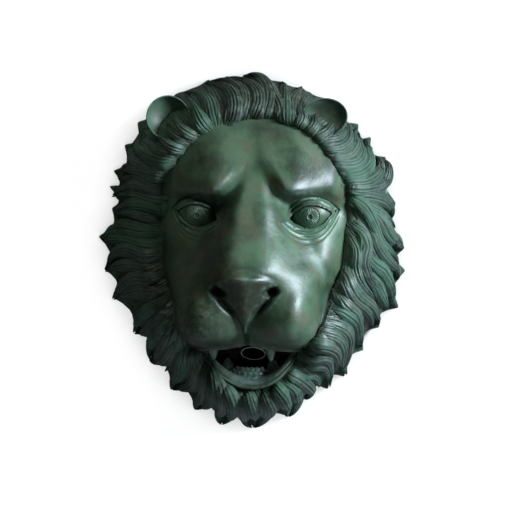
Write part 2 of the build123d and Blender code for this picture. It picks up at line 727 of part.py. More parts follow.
parts = {}
parts["face_casting"] = relief_shell(
    face_depth, face_bottom, face_top, face_half_width, face_columns, face_front_rows, face_back_rows
)
parts["lower_jaw"] = relief_shell(
    jaw_depth, jaw_bottom, jaw_top, jaw_half_width - seam, jaw_columns, jaw_front_rows, jaw_back_rows
)
parts["mane_crown"] = mane_sector(left_tips[-1], crown_tips, right_tips[0], crown_notch)
parts["mane_right"] = mane_sector(crown_tips[-1], right_tips, beard_tips[0], side_notch)
parts["mane_beard"] = mane_sector(right_tips[-1], beard_tips, left_tips[0], side_notch)
parts["mane_left"] = mane_sector(beard_tips[-1], left_tips, crown_tips[0], side_notch)
castings = [parts[n] for n in ("mane_crown", "mane_right", "mane_beard", "mane_left")]

ear_seats = [*castings, parts["face_casting"]]
parts["ear_left"] = ear(left_ear_x, left_ear_z, left_ear_depth, left_ear_lean, ear_seats)
parts["ear_right"] = ear(right_ear_x, right_ear_z, right_ear_depth, right_ear_lean, ear_seats)
parts["lower_teeth"] = lower_teeth(parts["lower_jaw"])
parts["upper_fangs"] = Compound(children=[upper_fang(side, parts["face_casting"]) for side in (-1, 1)])

parts["spout_pipe"] = spout_pipe()
parts["spout_elbow"] = elbow(
    spout_z, True, spout_radius + socket_wall, spout_radius, tube_radius + socket_wall, tube_radius, True
)
parts["riser_lower"] = riser(spout_z + elbow_stop, valve_low_z + socket_depth)
parts["valve_body"] = valve_body()
parts["valve_seats"] = Compound(children=[s.solid() for s in valve_seats()])
parts["valve_ball"] = valve_ball()
parts["valve_stem"] = valve_stem()
parts["packing_nut"] = packing_nut()
parts["valve_lever"] = valve_lever()
parts["lever_nut"] = lever_nut()
for name, place in zip(("lower", "upper"), valve_ends):
    parts[f"valve_nut_{name}"] = place * Pos(0, 0, -nut_offset) * valve_nut()
    parts[f"olive_{name}"] = place * Pos(0, 0, -olive_height) * olive()
parts["riser_upper"] = riser(valve_high_z - socket_depth, inlet_z - elbow_stop)
parts["inlet_elbow"] = elbow(
    inlet_z, False, tube_radius + socket_wall, tube_radius, tube_radius + socket_wall, tube_radius, False
)
parts["supply_tail"] = supply_tail()
parts["fibre_washer"] = fibre_washer()
parts["swivel_nut"] = swivel_nut()

parts["cross_bar"] = cross_bar([*castings, parts["lower_jaw"]])
parts["pipe_saddle"] = pipe_saddle()
parts["saddle_bolts"] = Compound(children=[saddle_bolt(side * bolt_x).solid() for side in (-1, 1)])
parts["saddle_nuts"] = Compound(children=[saddle_nut(side * bolt_x).solid() for side in (-1, 1)])

corners = {"upper_left": (-1, 1), "upper_right": (1, 1), "lower_left": (-1, -1), "lower_right": (1, -1)}
for name, corner in corners.items():
    parts[f"lug_{name}"] = lug(*corner, castings)
parts["wall_studs"] = Compound(children=[wall_stud(*c).solid() for c in corners.values()])
parts["stud_nuts"] = Compound(children=[stud_nut(*c).solid() for c in corners.values()])

for name, shape in parts.items():
    export_step(shape, f"parts/{name}.step")
print(len(parts), "parts written")
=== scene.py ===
import math
import bpy
import numpy as np
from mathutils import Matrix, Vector


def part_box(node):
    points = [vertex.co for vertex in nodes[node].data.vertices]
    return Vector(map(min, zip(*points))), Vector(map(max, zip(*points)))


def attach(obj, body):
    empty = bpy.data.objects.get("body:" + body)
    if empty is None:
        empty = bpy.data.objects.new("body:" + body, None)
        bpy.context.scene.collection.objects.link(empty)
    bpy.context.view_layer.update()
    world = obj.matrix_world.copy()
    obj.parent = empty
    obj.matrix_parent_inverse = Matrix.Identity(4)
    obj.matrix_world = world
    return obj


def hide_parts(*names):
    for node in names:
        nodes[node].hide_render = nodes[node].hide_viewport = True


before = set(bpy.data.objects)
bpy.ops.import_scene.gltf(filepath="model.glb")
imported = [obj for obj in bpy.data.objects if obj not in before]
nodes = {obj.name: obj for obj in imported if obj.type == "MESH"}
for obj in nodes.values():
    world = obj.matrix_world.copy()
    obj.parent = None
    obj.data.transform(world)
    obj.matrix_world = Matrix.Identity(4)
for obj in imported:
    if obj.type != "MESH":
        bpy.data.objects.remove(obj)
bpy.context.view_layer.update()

mm = 0.001
fullTurn = 2 * math.pi
body = "mask"
print("frame loaded:", len(nodes), "nodes")

# all shapes are worked out in mm as x, depth in front of the wall, and z

# camera

cameraSet = dict(distance=2.4, azimuth=5.0, elevation=10.0, target=(-0.0051, 0.0, -0.0035), mmPerPixel=1.16,
                 pixels=512, sensor=36)


def cameraOut():  # from the target towards the camera
    az, el = math.radians(cameraSet["azimuth"]), math.radians(cameraSet["elevation"])
    return np.array([math.sin(az) * math.cos(el), -math.cos(az) * math.cos(el), math.sin(el)])


def aim(obj, target):
    obj.rotation_euler = (Vector(target) - obj.location).to_track_quat("-Z", "Y").to_euler()


def addCamera():
    c = cameraSet
    bpy.ops.object.camera_add(location=Vector(c["target"]) + Vector(cameraOut()) * c["distance"])
    camera = bpy.context.object
    aim(camera, c["target"])
    camera.data.sensor_width = c["sensor"]
    camera.data.lens = c["sensor"] * c["distance"] / (c["pixels"] * c["mmPerPixel"] * mm)
    bpy.context.scene.camera = camera


# shader nodes: a wrapped socket that can be added and multiplied, and a finish that adds nodes

class Value:
    def __init__(self, finish, socket):
        self.finish, self.socket = finish, socket

    def math(self, operation, other):
        return self.finish.add("ShaderNodeMath", dict(operation=operation), {0: self, 1: other})

    def __add__(self, other):
        return self.math("ADD", other)

    def __sub__(self, other):
        return self.math("SUBTRACT", other)

    def __mul__(self, other):
        return self.math("MULTIPLY", other)

    __radd__, __rmul__ = __add__, __mul__


class Finish:
    def __init__(self, name, **constants):
        self.material = bpy.data.materials.new(name)
        self.material.use_nodes = True
        self.tree = self.material.node_tree
        self.shader = self.tree.nodes["Principled BSDF"]
        self.out(**constants)
        self.place = self.add("ShaderNodeTexCoord", out="Object")

    def add(self, kind, settings=None, sockets=None, out=0):
        node = self.tree.nodes.new(kind)
        for key, value in (settings or {}).items():
            setattr(node, key, value)
        for key, value in (sockets or {}).items():
            self.feed(node.inputs[key], value)
        return Value(self, node.outputs[out])

    def feed(self, socket, value):
        if isinstance(value, Value):
            self.tree.links.new(value.socket, socket)
        else:
            socket.default_value = value

    def noise(self, scale, detail, rough, stretch=None):
        place = self.place
        if stretch:
            place = self.add("ShaderNodeMapping", None, {"Vector": self.place, "Scale": stretch})
        sockets = {"Vector": place, "Scale": scale, "Detail": detail, "Roughness": rough}
        return self.add("ShaderNodeTexNoise", None, sockets, out="Fac")

    def fit(self, value, low, high):
        sockets = {"Value": value, "From Min": low, "From Max": high}
        return self.add("ShaderNodeMapRange", dict(interpolation_type="SMOOTHSTEP"), sockets)

    def blend(self, factor, a, b):
        a, b = (colour if isinstance(colour, Value) else (*colour, 1.0) for colour in (a, b))
        return self.add("ShaderNodeMix", dict(data_type="RGBA"), {0: factor, 6: a, 7: b}, out=2)

    def attribute(self, name):
        return self.add("ShaderNodeAttribute", dict(attribute_name=name), out="Fac")

    def bump(self, height, strength, distance):
        sockets = {"Height": height, "Strength": strength, "Distance": distance}
        return self.add("ShaderNodeBump", None, sockets)

    def out(self, **values):
        for socket, value in values.items():
            self.feed(self.shader.inputs[socket.replace("_", " ")], value)
        return self.material


# finishes

# patina colours; the last one is the dark colour of painted shade
bronzeSet = dict(black=(0.014, 0.026, 0.011), green=(0.053, 0.112, 0.060), teal=(0.080, 0.215, 0.155),
                 brown=(0.075, 0.068, 0.036), rubbed=(0.140, 0.210, 0.195), stain=(0.016, 0.019, 0.008))
patinaSet = dict(cloud=(16, 5, 0.6), patch=(34, 4, 0.6), fine=(420, 3, 0.6), speck=(150, 5, 0.65),  # noises
                 specular=0.55, waxRough=0.30, waxIndex=1.45, rough=0.28, bump=(0.42, 0.0012))


def patinaBronze(name, verdigris, shade, wax=0.12, dull=0.0):
    s = patinaSet
    c = {key: tuple(shade * part for part in colour) for key, colour in bronzeSet.items()}
    f = Finish(name, Specular_IOR_Level=s["specular"], Metallic=0.0, Coat_Weight=wax,
               Coat_Roughness=s["waxRough"], Coat_IOR=s["waxIndex"])
    wear, root, stain = (f.attribute(key) for key in ("wear", "root", "stain"))
    cloud, patch, fine, speck = (f.noise(*s[key]) for key in ("cloud", "patch", "fine", "speck"))
    high = f.fit(wear, 0.54, 0.80)
    low = f.fit(wear, 0.47, 0.30)
    colour = f.blend(f.fit(cloud, 0.36, 0.63), c["black"], c["green"])
    colour = f.blend(f.fit(patch, 0.48, 0.66) * 0.75, colour, c["brown"])
    colour = f.blend(low * f.fit(patch, 0.30, 0.60) * (0.75 * verdigris), colour, c["teal"])
    colour = f.blend(f.fit(speck, 0.62, 0.74) * (0.35 * verdigris), colour, c["teal"])
    colour = f.blend(high * f.fit(speck, 0.25, 0.65) * 0.55, colour, c["rubbed"])
    colour = f.blend(root * f.fit(patch, 0.25, 0.65) * 0.6, colour, c["green"])
    # painted shade: the colour darkens and roughens a little where a piece is marked for shade
    colour = f.blend(stain * f.fit(speck, 0.75, 0.35), colour, c["stain"])
    rough = s["rough"] + dull + 0.20 * cloud + 0.14 * low - 0.06 * high + 0.10 * speck
    rough = rough + 0.30 * root + 0.12 * stain
    height = fine * 0.25 + speck * 0.8 + patch * 0.5
    return f.out(Base_Color=colour, Roughness=rough, Normal=f.bump(height, *s["bump"]))


def agedMetal(name, bright, dull, rough, metallic=1.0, brushed=None):
    f = Finish(name, Metallic=metallic)
    cloud = f.noise(55, 5, 0.6)
    grain = f.noise(600, 2, 0.5, brushed) if brushed else f.noise(500, 3, 0.6)
    colour = f.blend(f.fit(cloud, 0.35, 0.68), bright, dull)
    return f.out(Base_Color=colour, Roughness=rough + 0.22 * cloud + 0.06 * grain,
                 Normal=f.bump(grain, 0.12, 0.0004))


def plainCoat(name, colour, shade, rough):
    f = Finish(name)
    cloud = f.noise(70, 4, 0.6)
    fine = f.noise(700, 2, 0.5)
    return f.out(Base_Color=f.blend(f.fit(cloud, 0.3, 0.7), colour, shade), Roughness=rough + 0.15 * cloud,
                 Normal=f.bump(fine, 0.15, 0.0003))


# the cut end's colour is bare metal lightened further: a painted highlight in the shaded mouth
spoutSet = dict(along=(-0.682, -0.731), cutEnd=(0.1357, 0.1362), rubbed=(0.80, 0.77, 0.72),
                dark=(0.030, 0.024, 0.020), green=(0.014, 0.016, 0.014))


def spoutCopper():  # dark tube with its cut end rubbed bright, partly real bare metal and partly a painted highlight
    s = spoutSet
    f = Finish("spoutCopper", Metallic=1.0)
    cloud = f.noise(60, 5, 0.6)
    y = f.add("ShaderNodeSeparateXYZ", None, {0: f.place}, out="Y")
    z = Value(f, y.socket.node.outputs["Z"])
    end = f.fit(y * s["along"][0] + z * s["along"][1], *s["cutEnd"])
    colour = f.blend(f.fit(cloud, 0.3, 0.7), s["dark"], s["green"])
    return f.out(Base_Color=f.blend(end, colour, s["rubbed"]), Roughness=0.42 + 0.2 * cloud)


finishes = dict(
    bronze=patinaBronze("patinaBronze", 0.6, 1.12),
    hairBronze=patinaBronze("hairBronze", 0.9, 0.74, 0.05, 0.07),
    earBronze=patinaBronze("earBronze", 0.35, 0.80, 0.05),
    # a lighter copy of the patina: painted light on the teeth, which sit in the shade of the lips
    toothBronzePaintedLight=patinaBronze("toothBronzePaintedLight", 1.4, 1.7),
    copper=agedMetal("dullCopper", (0.52, 0.27, 0.17), (0.20, 0.12, 0.09), 0.30),
    fitting=agedMetal("fittingCopper", (0.46, 0.23, 0.14), (0.18, 0.11, 0.08), 0.36),
    brass=agedMetal("machinedBrass", (0.66, 0.47, 0.20), (0.40, 0.28, 0.13), 0.26),
    chrome=agedMetal("polishedBall", (0.80, 0.80, 0.82), (0.66, 0.66, 0.68), 0.10),
    steel=agedMetal("satinSteel", (0.56, 0.56, 0.57), (0.40, 0.40, 0.41), 0.32, brushed=(1, 0.06, 1)),
    spout=spoutCopper(),
    darkSteel=agedMetal("blackenedSteel", (0.075, 0.075, 0.075), (0.04, 0.042, 0.04), 0.45),
    rawBronze=agedMetal("rawBronze", (0.20, 0.14, 0.08), (0.09, 0.065, 0.04), 0.5, metallic=0.7),
    seat=plainCoat("seatPlastic", (0.82, 0.82, 0.79), (0.72, 0.72, 0.68), 0.35),
    lever=plainCoat("leverCoat", (0.36, 0.035, 0.028), (0.22, 0.025, 0.02), 0.30),
    fibre=plainCoat("washerFibre", (0.34, 0.10, 0.06), (0.24, 0.07, 0.05), 0.60),
)
nodeFinish = dict(
    copper=["riser_lower", "riser_upper", "supply_tail"],
    spout=["spout_pipe"], fitting=["spout_elbow", "inlet_elbow"],
    brass=["valve_body", "packing_nut", "valve_nut_lower", "valve_nut_upper", "olive_lower", "olive_upper",
           "swivel_nut"],
    chrome=["valve_ball"], seat=["valve_seats"], lever=["valve_lever"], fibre=["fibre_washer"],
    steel=["valve_stem", "lever_nut", "wall_studs", "stud_nuts"],
    darkSteel=["cross_bar", "pipe_saddle", "saddle_bolts", "saddle_nuts"],
    rawBronze=["lug_upper_left", "lug_upper_right", "lug_lower_left", "lug_lower_right"],
)
for key, names in nodeFinish.items():
    for name in names:
        nodes[name].data.materials.clear()
        nodes[name].data.materials.append(finishes[key])
print("finishes made:", len(finishes))


# mesh helpers

def place(x, depth, z):
    return np.stack([x, -depth, z], axis=-1) * mm


def pick(piece):
    bpy.ops.object.select_all(action="DESELECT")
    piece.select_set(True)
    bpy.context.view_layer.objects.active = piece


def gridPiece(name, points):
    rows, columns = points.shape[:2]
    bpy.ops.object.select_all(action="DESELECT")
    bpy.ops.mesh.primitive_grid_add(x_subdivisions=columns - 1, y_subdivisions=rows - 1, size=1)
    piece = bpy.context.object
    piece.name = piece.data.name = name
    piece.data.vertices.foreach_set("co", points.reshape(-1))
    piece.data.update()
    return piece


def tubePiece(name, rings):  # rings: ring, corner, xyz; the ends are closed
    count, corners = rings.shape[:2]
    here = np.arange(count * corners).reshape(count, corners)
    after = np.roll(here, -1, axis=1)
    quads = np.stack([here[:-1], after[:-1], after[1:], here[1:]], axis=-1).reshape(-1, 4).tolist()
    ends = [here[0][::-1].tolist(), here[-1].tolist()]
    mesh = bpy.data.meshes.new(name)
    mesh.from_pydata(rings.reshape(-1, 3).tolist(), [], quads + ends)
    piece = bpy.data.objects.new(name, mesh)
    bpy.context.scene.collection.objects.link(piece)
    pick(piece)
    bpy.ops.object.mode_set(mode="EDIT")
    bpy.ops.mesh.select_all(action="SELECT")
    bpy.ops.mesh.normals_make_consistent(inside=False)
    bpy.ops.object.mode_set(mode="OBJECT")
    return piece


def thicken(piece, thickness):  # the wall grows away from the front face
    pick(piece)
    wall = piece.modifiers.new("wall", "SOLIDIFY")
    wall.thickness = thickness * mm
    wall.offset = -1
    bpy.ops.object.modifier_apply(modifier="wall")


def joined(name, pieces):
    bpy.ops.object.select_all(action="DESELECT")
    for piece in pieces:
        piece.select_set(True)
    bpy.context.view_layer.objects.active = pieces[0]
    bpy.ops.object.join()
    whole = bpy.context.object
    whole.name = whole.data.name = name
    return whole


def vertexSpots(mesh):
    spots = np.zeros(len(mesh.vertices) * 3)
    mesh.vertices.foreach_get("co", spots)
    return spots.reshape(-1, 3) / mm


def mark(mesh, name, values):
    layer = mesh.attributes.new(name, "FLOAT", "POINT")
    layer.data.foreach_set("value", np.clip(values, 0, 1))


def markWear(piece, rounds, scale):  # 1 on high points, 0 in recesses
    mesh = piece.data
    count = len(mesh.vertices)
    spots = vertexSpots(mesh)
    edges = np.zeros(len(mesh.edges) * 2, dtype=np.int64)
    mesh.edges.foreach_get("vertices", edges)
    a, b = edges.reshape(-1, 2).T
    ends, others = np.concatenate([a, b]), np.concatenate([b, a])
    share = np.maximum(np.bincount(ends, minlength=count), 1)
    soft = spots.copy()
    for _ in range(rounds):
        mean = [np.bincount(ends, soft[others, axis], count) / share for axis in range(3)]
        soft = 0.4 * soft + 0.6 * np.stack(mean, axis=-1)
    normals = np.zeros(count * 3)
    mesh.vertex_normals.foreach_get("vector", normals)
    rise = ((spots - soft) * normals.reshape(-1, 3)).sum(axis=1)
    mark(mesh, "wear", 0.5 + 0.5 * rise / scale)


def markSpots(piece, name, rule):  # a value from 0 to 1 by place on the front
    x, _, z = vertexSpots(piece.data).T
    mark(piece.data, name, rule(x, z))


def finishPiece(piece, finish, replaced, wear, slot="patinated_bronze", angle=50, **rules):
    markWear(piece, *wear)
    for name, rule in rules.items():
        markSpots(piece, name, rule)
    pick(piece)
    bpy.ops.object.shade_smooth_by_angle(angle=math.radians(angle))
    piece.data.materials.clear()
    piece.data.materials.append(finishes[finish])
    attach(piece, body)
    if replaced:
        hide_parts(replaced)


# relief helpers

def smoothMax(a, b, blend):
    h = np.clip(0.5 + 0.5 * (a - b) / blend, 0, 1)
    return b * (1 - h) + a * h + blend * h * (1 - h)


def ease(value, low, high):
    t = np.clip((value - low) / (high - low), 0, 1)
    return t * t * (3 - 2 * t)


def turned(x, z, centre, degrees):
    c, s = math.cos(math.radians(degrees)), math.sin(math.radians(degrees))
    x, z = x - centre[0], z - centre[1]
    return x * c + z * s, z * c - x * s


def bell(x, z, centre, radii, turn=0.0, power=2.0):
    u, v = turned(x, z, centre, turn)
    return np.exp(-np.abs(u / radii[0]) ** power - np.abs(v / radii[1]) ** power)


def bells(x, z, forms):  # each form: rise, centre, radii, and where needed turn and power
    return sum(rise * bell(x, z, *form) for rise, *form in forms.values())


def ridge(off, rise, at, width):
    return rise * np.exp(-(((off - at) / width) ** 2))


def ringTurns(corners):
    return np.linspace(0, fullTurn, corners, endpoint=False)[None, :]


def squared(values, power):  # bends a circle towards a square
    return np.sign(values) * np.abs(values) ** power


def kernel(reach):
    weights = np.hanning(2 * reach + 3)[1:-1]
    return weights / weights.sum()


def unit(rows):
    return rows / (np.linalg.norm(rows, axis=1)[:, None] + 1e-9)


# face: broad forms, then the nose, the lids and the creases

faceSet = dict(
    halfWidth=108.0, columns=204, rows=226, wall=4.5, topZ=165.0, templeX=104.0, templeDrop=77.0, hidden=8.0,
    lipX=[0, 6, 20, 32, 44, 52, 62, 72, 80, 87, 96, 104],
    lipZ=[-84, -84, -87, -89, -90, -92, -94, -89, -70, -44, -20, -10],
    lipRound=4.5, lipTuck=(14.0, 20.0), rollRows=12, shift=-4.5, soften=6, levels=330, hairline=(-24, -4),
)


def faceTop(x):
    return faceSet["topZ"] - faceSet["templeDrop"] * np.clip(np.abs(x) / faceSet["templeX"], 0, 1.04) ** 2.6


def faceBottom(x):
    return np.interp(np.abs(x - faceSet["shift"]), faceSet["lipX"], faceSet["lipZ"])


browSet = dict(x=[20, 34, 46, 60, 78, 90, 102], z=[97, 91, 89, 89, 89, 85, 70],
               rise=[10, 16, 15, 10, 7, 7, 4], inner=30.0, slant=0.55, slantZ=88.0, innerLimits=(12, 34),
               innerBand=(-20, 14), outerBand=(88, 106), widthAbove=25, widthBelow=9)


def browRelief(side, z):  # a roll of flesh, steeper below its ridge
    s = browSet
    off = z - np.interp(side, s["x"], s["z"])
    start = np.clip(s["inner"] - s["slant"] * (z - s["slantZ"]), *s["innerLimits"])  # slants into the frown
    along = np.interp(side, s["x"], s["rise"]) * ease(side - start, *s["innerBand"])
    along = along * (1 - ease(side, *s["outerBand"]))
    return along * np.exp(-((off / np.where(off > 0, s["widthAbove"], s["widthBelow"])) ** 2))


skullSet = dict(depth=106.0, edge=56.0, half=106.0, eyeLine=45.0, reach=95.0, fallAbove=24.0,
                fallBelow=4.0, edgeFall=8.0)
skullForms = dict(
    lobe=(2, (38, 128), (26, 22)),
    frown=(-3, (30, 80), (10, 17), 27),
    temple=(5, (95, 113), (20, 24)),
    socket=(-15, (61, 61), (33, 16), 8, 2.6),
    innerCorner=(-7, (38, 62), (10, 13)),
    cheekBone=(6, (84, 24), (26, 26)),
    cheek=(14, (83, -24), (20, 36)),
    underEye=(8, (76, 8), (22, 24)),
)
middleForms = dict(foreheadGroove=(-2, (-4, 140), (10, 26)))


def skullRelief(x, z):
    s = skullSet
    side = np.abs(x)
    up = (z - s["eyeLine"]) / s["reach"]
    above, below = np.clip(up, 0, None), np.clip(-up, 0, None)
    middle = s["depth"] - s["fallAbove"] * above**2 - s["fallBelow"] * below**2
    edge = s["edge"] - s["edgeFall"] * above**2
    d = edge + (middle - edge) * (1 - np.clip(side / s["half"], 0, 1) ** 2.5) ** 0.8
    return d + browRelief(side, z) + bells(side, z, skullForms) + bells(x, z, middleForms)


bridgeSet = dict(topZ=88.0, depth=109.0, slope=0.716, fall=13.0, power=2.6, powerMore=1.6,
                 powerBand=(45, 80), z=[-2, 40, 69, 86, 103, 118], half=[37.6, 31, 28, 20.5, 13, 9],
                 topDrop=0.85, endZ=4.0, endDrop=0.65, endRound=60.0)


def bridgeRelief(x, z):
    s = bridgeSet
    drop = np.clip(s["topZ"] - z, 0, None)
    side = np.abs(x - faceSet["shift"] * np.clip(drop / s["topZ"], 0, 1))
    power = s["power"] + s["powerMore"] * ease(z, *s["powerBand"])
    d = s["depth"] + drop * s["slope"] - s["fall"] * (side / np.interp(z, s["z"], s["half"])) ** power
    past = s["endZ"] - z
    d = d - s["endDrop"] * (past + np.sqrt(past**2 + s["endRound"]))  # rounds over to the nose
    return d - np.clip(z - s["topZ"], 0, None) * s["topDrop"]


padSet = dict(place=(46.0, -52.0), inner=69.0, outer=44.0, outerMore=8.0, outerBand=(-40, 5), above=74.0,
              below=42.0, powers=(2.2, 2.3), base=62.0, rise=97.0, soft=0.40, foot=1.9)


def padRelief(off, z):
    s = padSet
    padX, padZ = s["place"]
    outer = s["outer"] + s["outerMore"] * ease(z, *s["outerBand"])
    u = np.where(off < padX, (padX - off) / s["inner"], (off - padX) / outer)
    v = np.where(z > padZ, (z - padZ) / s["above"], (padZ - z) / s["below"])
    reach = 1 - u ** s["powers"][0] - np.clip(v, 0, 1.2) ** s["powers"][1]
    inside = np.clip(reach, 1e-6, 1)
    cheekward = np.maximum(ease(z, -62, -8), ease(off, 45, 65) * ease(z, -85, -55))
    soft = s["soft"] * cheekward  # it runs out into the cheek
    dome = inside * np.sqrt((1 + soft) / (inside + soft)) + s["foot"] * np.minimum(reach, 0)
    return s["base"] + s["rise"] * dome


def broadRelief(x, z):
    bridgeBlend = 14 + 42 * ease(-z, -62, -15)
    padBlend = 12 + 12 * ease(z, -70, -30) + 14 * ease(z, -35, 5)
    d = smoothMax(skullRelief(x, z), bridgeRelief(x, z), bridgeBlend)
    return smoothMax(d, padRelief(np.abs(x - faceSet["shift"]), z), padBlend)


noseSet = dict(depth=172.0, z=[0, 6, 12, 20, 30, 45, 58, 70], half=[34, 38, 38, 33, 23, 11, 3, 1],
               wing=38.0, lean=0.4, wingFall=10.0, facet=0.32, ridgeRound=20.0, ridgeTop=4.5, topArch=9.0,
               edgeFall=24.0, edgeWidth=9.0, endZ=-66.0, behind=20.0, blend=4.0, groove=(6.0, 0.0, 2.2),
               grooveBand=(46, 58))
nostrilForms = dict(hole=(-18, (29, -17), (6.5, 4.2), 24, 2.6), wingCrease=(-8, (22, -31), (3.2, 14), -43))


def noseRelief(off, z):  # two facets with a soft ridge, and rounded wings that narrow to the lip
    s = noseSet
    half = np.interp(-z, s["z"], s["half"])
    top = np.clip(z + s["topArch"] * (off / s["wing"]) ** 2.2, 0, None)
    d = s["depth"] - s["lean"] * np.clip(-z, 0, None) - s["wingFall"] * np.clip(off / s["wing"], 0, 1.2) ** 3
    d = d - s["facet"] * (np.sqrt(off**2 + s["ridgeRound"]) - s["ridgeTop"])
    d = d - s["edgeFall"] * np.clip((off - half) / s["edgeWidth"] + 0.5, 0, 3) ** 2
    return np.where(z < s["endZ"], s["behind"], d - 0.7 * top - 0.05 * top**2)


eyeSet = dict(place=(63.0, 57.5), ball=25.0, depth=67.5, irisRadius=10.0, irisEdge=1.5, pupil=3.2,
              pupilSink=2.2, spokes=26, spokeSink=0.55, rimSink=0.6, rimWidth=0.7, capAngle=62.0, rings=70,
              corners=156)
lidSet = dict(turn=8.0, half=24.0, power=2.2, upper=12.5, lower=13.0, steep=0.8, thick=1.8, band=(-10, -4),
              sink=1.5, upperBand=(-5, 5), upperFold=(-1.6, -7.6, 1.2), lowerFold=(-0.9, -11.5, 1.4),
              folds=[(1.7, -1.2, 1.0), (-1.5, -3.4, 1.0), (1.0, -5.4, 1.2), (-1.2, -7.6, 1.2)])


def eyeGap(side, z):  # more than 0 inside the almond between the lids
    s = lidSet
    u, v = turned(side, z, eyeSet["place"], s["turn"])
    arch = 1 - np.clip(np.abs(u) / s["half"], 0, 2) ** s["power"]
    return np.minimum(s["upper"] * arch - v, v + s["lower"] * arch) * s["steep"]


def lidRelief(side, z, d):
    s = lidSet
    gap = eyeGap(side, z)
    eyeX, eyeZ = eyeSet["place"]
    apart = (side - eyeX) ** 2 + (z - eyeZ) ** 2
    ball, cover = (eyeSet["depth"] + np.sqrt(np.clip((eyeSet["ball"] + more) ** 2 - apart, 0, None))
                   for more in (0.0, s["thick"]))
    lids = d + (np.maximum(cover, d) - d) * ease(gap, *s["band"])
    upper = ease(z - eyeZ, *s["upperBand"])
    d = np.where(gap > 0, ball - s["sink"], lids) + sum(ridge(gap, *fold) for fold in s["folds"])
    return d + upper * ridge(gap, *s["upperFold"]) + (1 - upper) * ridge(gap, *s["lowerFold"])


def fineRelief(x, z, d):  # nose, creases and lids on the broad form
    s = noseSet
    off = np.abs(x - faceSet["shift"])
    d = d - ridge(off, *s["groove"]) * ease(-z, *s["grooveBand"])
    d = smoothMax(d, noseRelief(off, z), s["blend"]) + bells(off, z, nostrilForms)
    return lidRelief(np.abs(x), z, d)


def softened(values, reach):  # each round smooths the columns and turns the table
    for _ in range(2):
        padded = np.pad(values, ((reach, reach), (0, 0)), mode="reflect", reflect_type="odd")
        values = np.stack([np.convolve(column, kernel(reach), "valid") for column in padded.T])
    return values


# painted shade under the brows, in the inner eye corners and on the left muzzle pad
browPaintedShade = dict(underBrow=(0.6, (58, 80), (34, 7)), innerCorner=(0.5, (36, 66), (8, 18)))
leftPaintedShade = dict(pad=(0.6, (-52, -48), (26, 16)))


def facePaintedShade(x, z):  # painted shade: dark on the nose, under the brows, low on the muzzle and on its left, the side turned from the light
    off = np.abs(x - faceSet["shift"])
    nose = 0.95 * ease(-z, 1, 8) * ease(np.interp(-z, noseSet["z"], noseSet["half"]) - off, -5, 3)
    low = 0.55 * ease(-z, 58, 84) + bells(np.abs(x), z, browPaintedShade)
    left = 0.6 * ease(-x, 0, 60) * ease(-z, -40, 30) + bells(x, z, leftPaintedShade)
    return np.maximum(nose, low) + left


def faceRoot(x, z):  # dull along the hairline
    return ease(z - faceTop(x), *faceSet["hairline"])


def lipRows(x, depth, low):  # the lip curls under and back into the mouth
    r = faceSet["lipRound"]
    back, up = faceSet["lipTuck"]
    rows = []
    for t in np.arange(faceSet["rollRows"]) / faceSet["rollRows"]:
        if t < 0.5:
            rows.append(place(x, depth - 2 * r - back * (0.5 - t), low + r + up * (0.5 - t)))
        else:
            turn = math.pi * (1 - t) / 0.5
            rows.append(place(x, depth - r * (1 - math.cos(turn)), low + r - r * math.sin(turn)))
    return np.array(rows)


def makeFace():
    s = faceSet
    x = np.linspace(-s["halfWidth"], s["halfWidth"], s["columns"])
    low = faceBottom(x)
    foot = low + s["lipRound"]
    z = foot + (faceTop(x) + s["hidden"] - foot) * np.linspace(0, 1, s["rows"] - s["rollRows"])[:, None]
    across = np.broadcast_to(x, z.shape)
    level = np.linspace(low.min(), s["topZ"] + s["hidden"], s["levels"])
    soft = softened(broadRelief(*np.meshgrid(x, level)), s["soften"])  # level rows, read along the grid
    broad = np.stack([np.interp(z[:, i], level, soft[:, i]) for i in range(s["columns"])], axis=1)
    depth = fineRelief(across, z, broad)
    face = gridPiece("face", np.concatenate([lipRows(x, depth[0], low), place(across, depth, z)]))
    thicken(face, s["wall"])
    finishPiece(face, "bronze", "face_casting", (24, 1.8), stain=facePaintedShade, root=faceRoot)


# lower jaw

jawSet = dict(half=49.0, ends=(-53.0, 49.0), columns=94, lipZ=-124.0, lipRise=(25.0, 35.0), chinZ=-144.0,
              chinRise=45.0, leftChin=31.0, chinPower=2.9, chinDrop=3.0, centreZ=-108.0,
              radii=(62.0, 44.0), base=60.0, rise=62.0, wall=4.0, lipRound=8.0, inside=[(3, 15), (1, 10)],
              lipSteps=12, chinSteps=26, bulges=[(3.0, 0.18, 0.16), (-2.0, 0.55, 0.16)],
              stainBand=(126, 140), skinZ=-86.0)


def jawRelief(x, z):
    s = jawSet
    inside = 1 - (x / s["radii"][0]) ** 2 - ((z - s["centreZ"]) / s["radii"][1]) ** 2
    return s["base"] + s["rise"] * np.sqrt(np.clip(inside, 0, 1))


def jawPaintedShade(x, z):  # painted shade: dark below the lip
    return 0.6 * ease(-z, *jawSet["stainBand"])


def makeJaw():
    s = jawSet
    x = np.linspace(*s["ends"], s["columns"])
    top = s["lipZ"] + np.where(x < 0, *s["lipRise"]) * (x / s["half"]) ** 2
    chinRise = np.where(x < 0, s["leftChin"], s["chinRise"])
    chin = s["chinZ"] + chinRise * (np.abs(x) / s["half"]) ** s["chinPower"] - s["chinDrop"]
    r = s["lipRound"]
    lipDepth = jawRelief(x, top - r)
    rows = [place(x, lipDepth - 2 * r - back, top - down) for back, down in s["inside"]]
    for turn in np.linspace(0, math.pi, s["lipSteps"]):  # over the lip from the inside to the front
        rows.append(place(x, lipDepth - r - r * np.cos(turn), top - r + r * np.sin(turn)))
    for t in np.linspace(0, 1, s["chinSteps"])[1:]:
        z = top - r + (chin - top + r) * t
        rows.append(place(x, jawRelief(x, z) + sum(ridge(t, *bulge) for bulge in s["bulges"]), z))
    jaw = gridPiece("jaw", np.array(rows)[::-1])
    thicken(jaw, s["wall"])
    finishPiece(jaw, "bronze", "lower_jaw", (14, 0.9), stain=jawPaintedShade)


# eyes

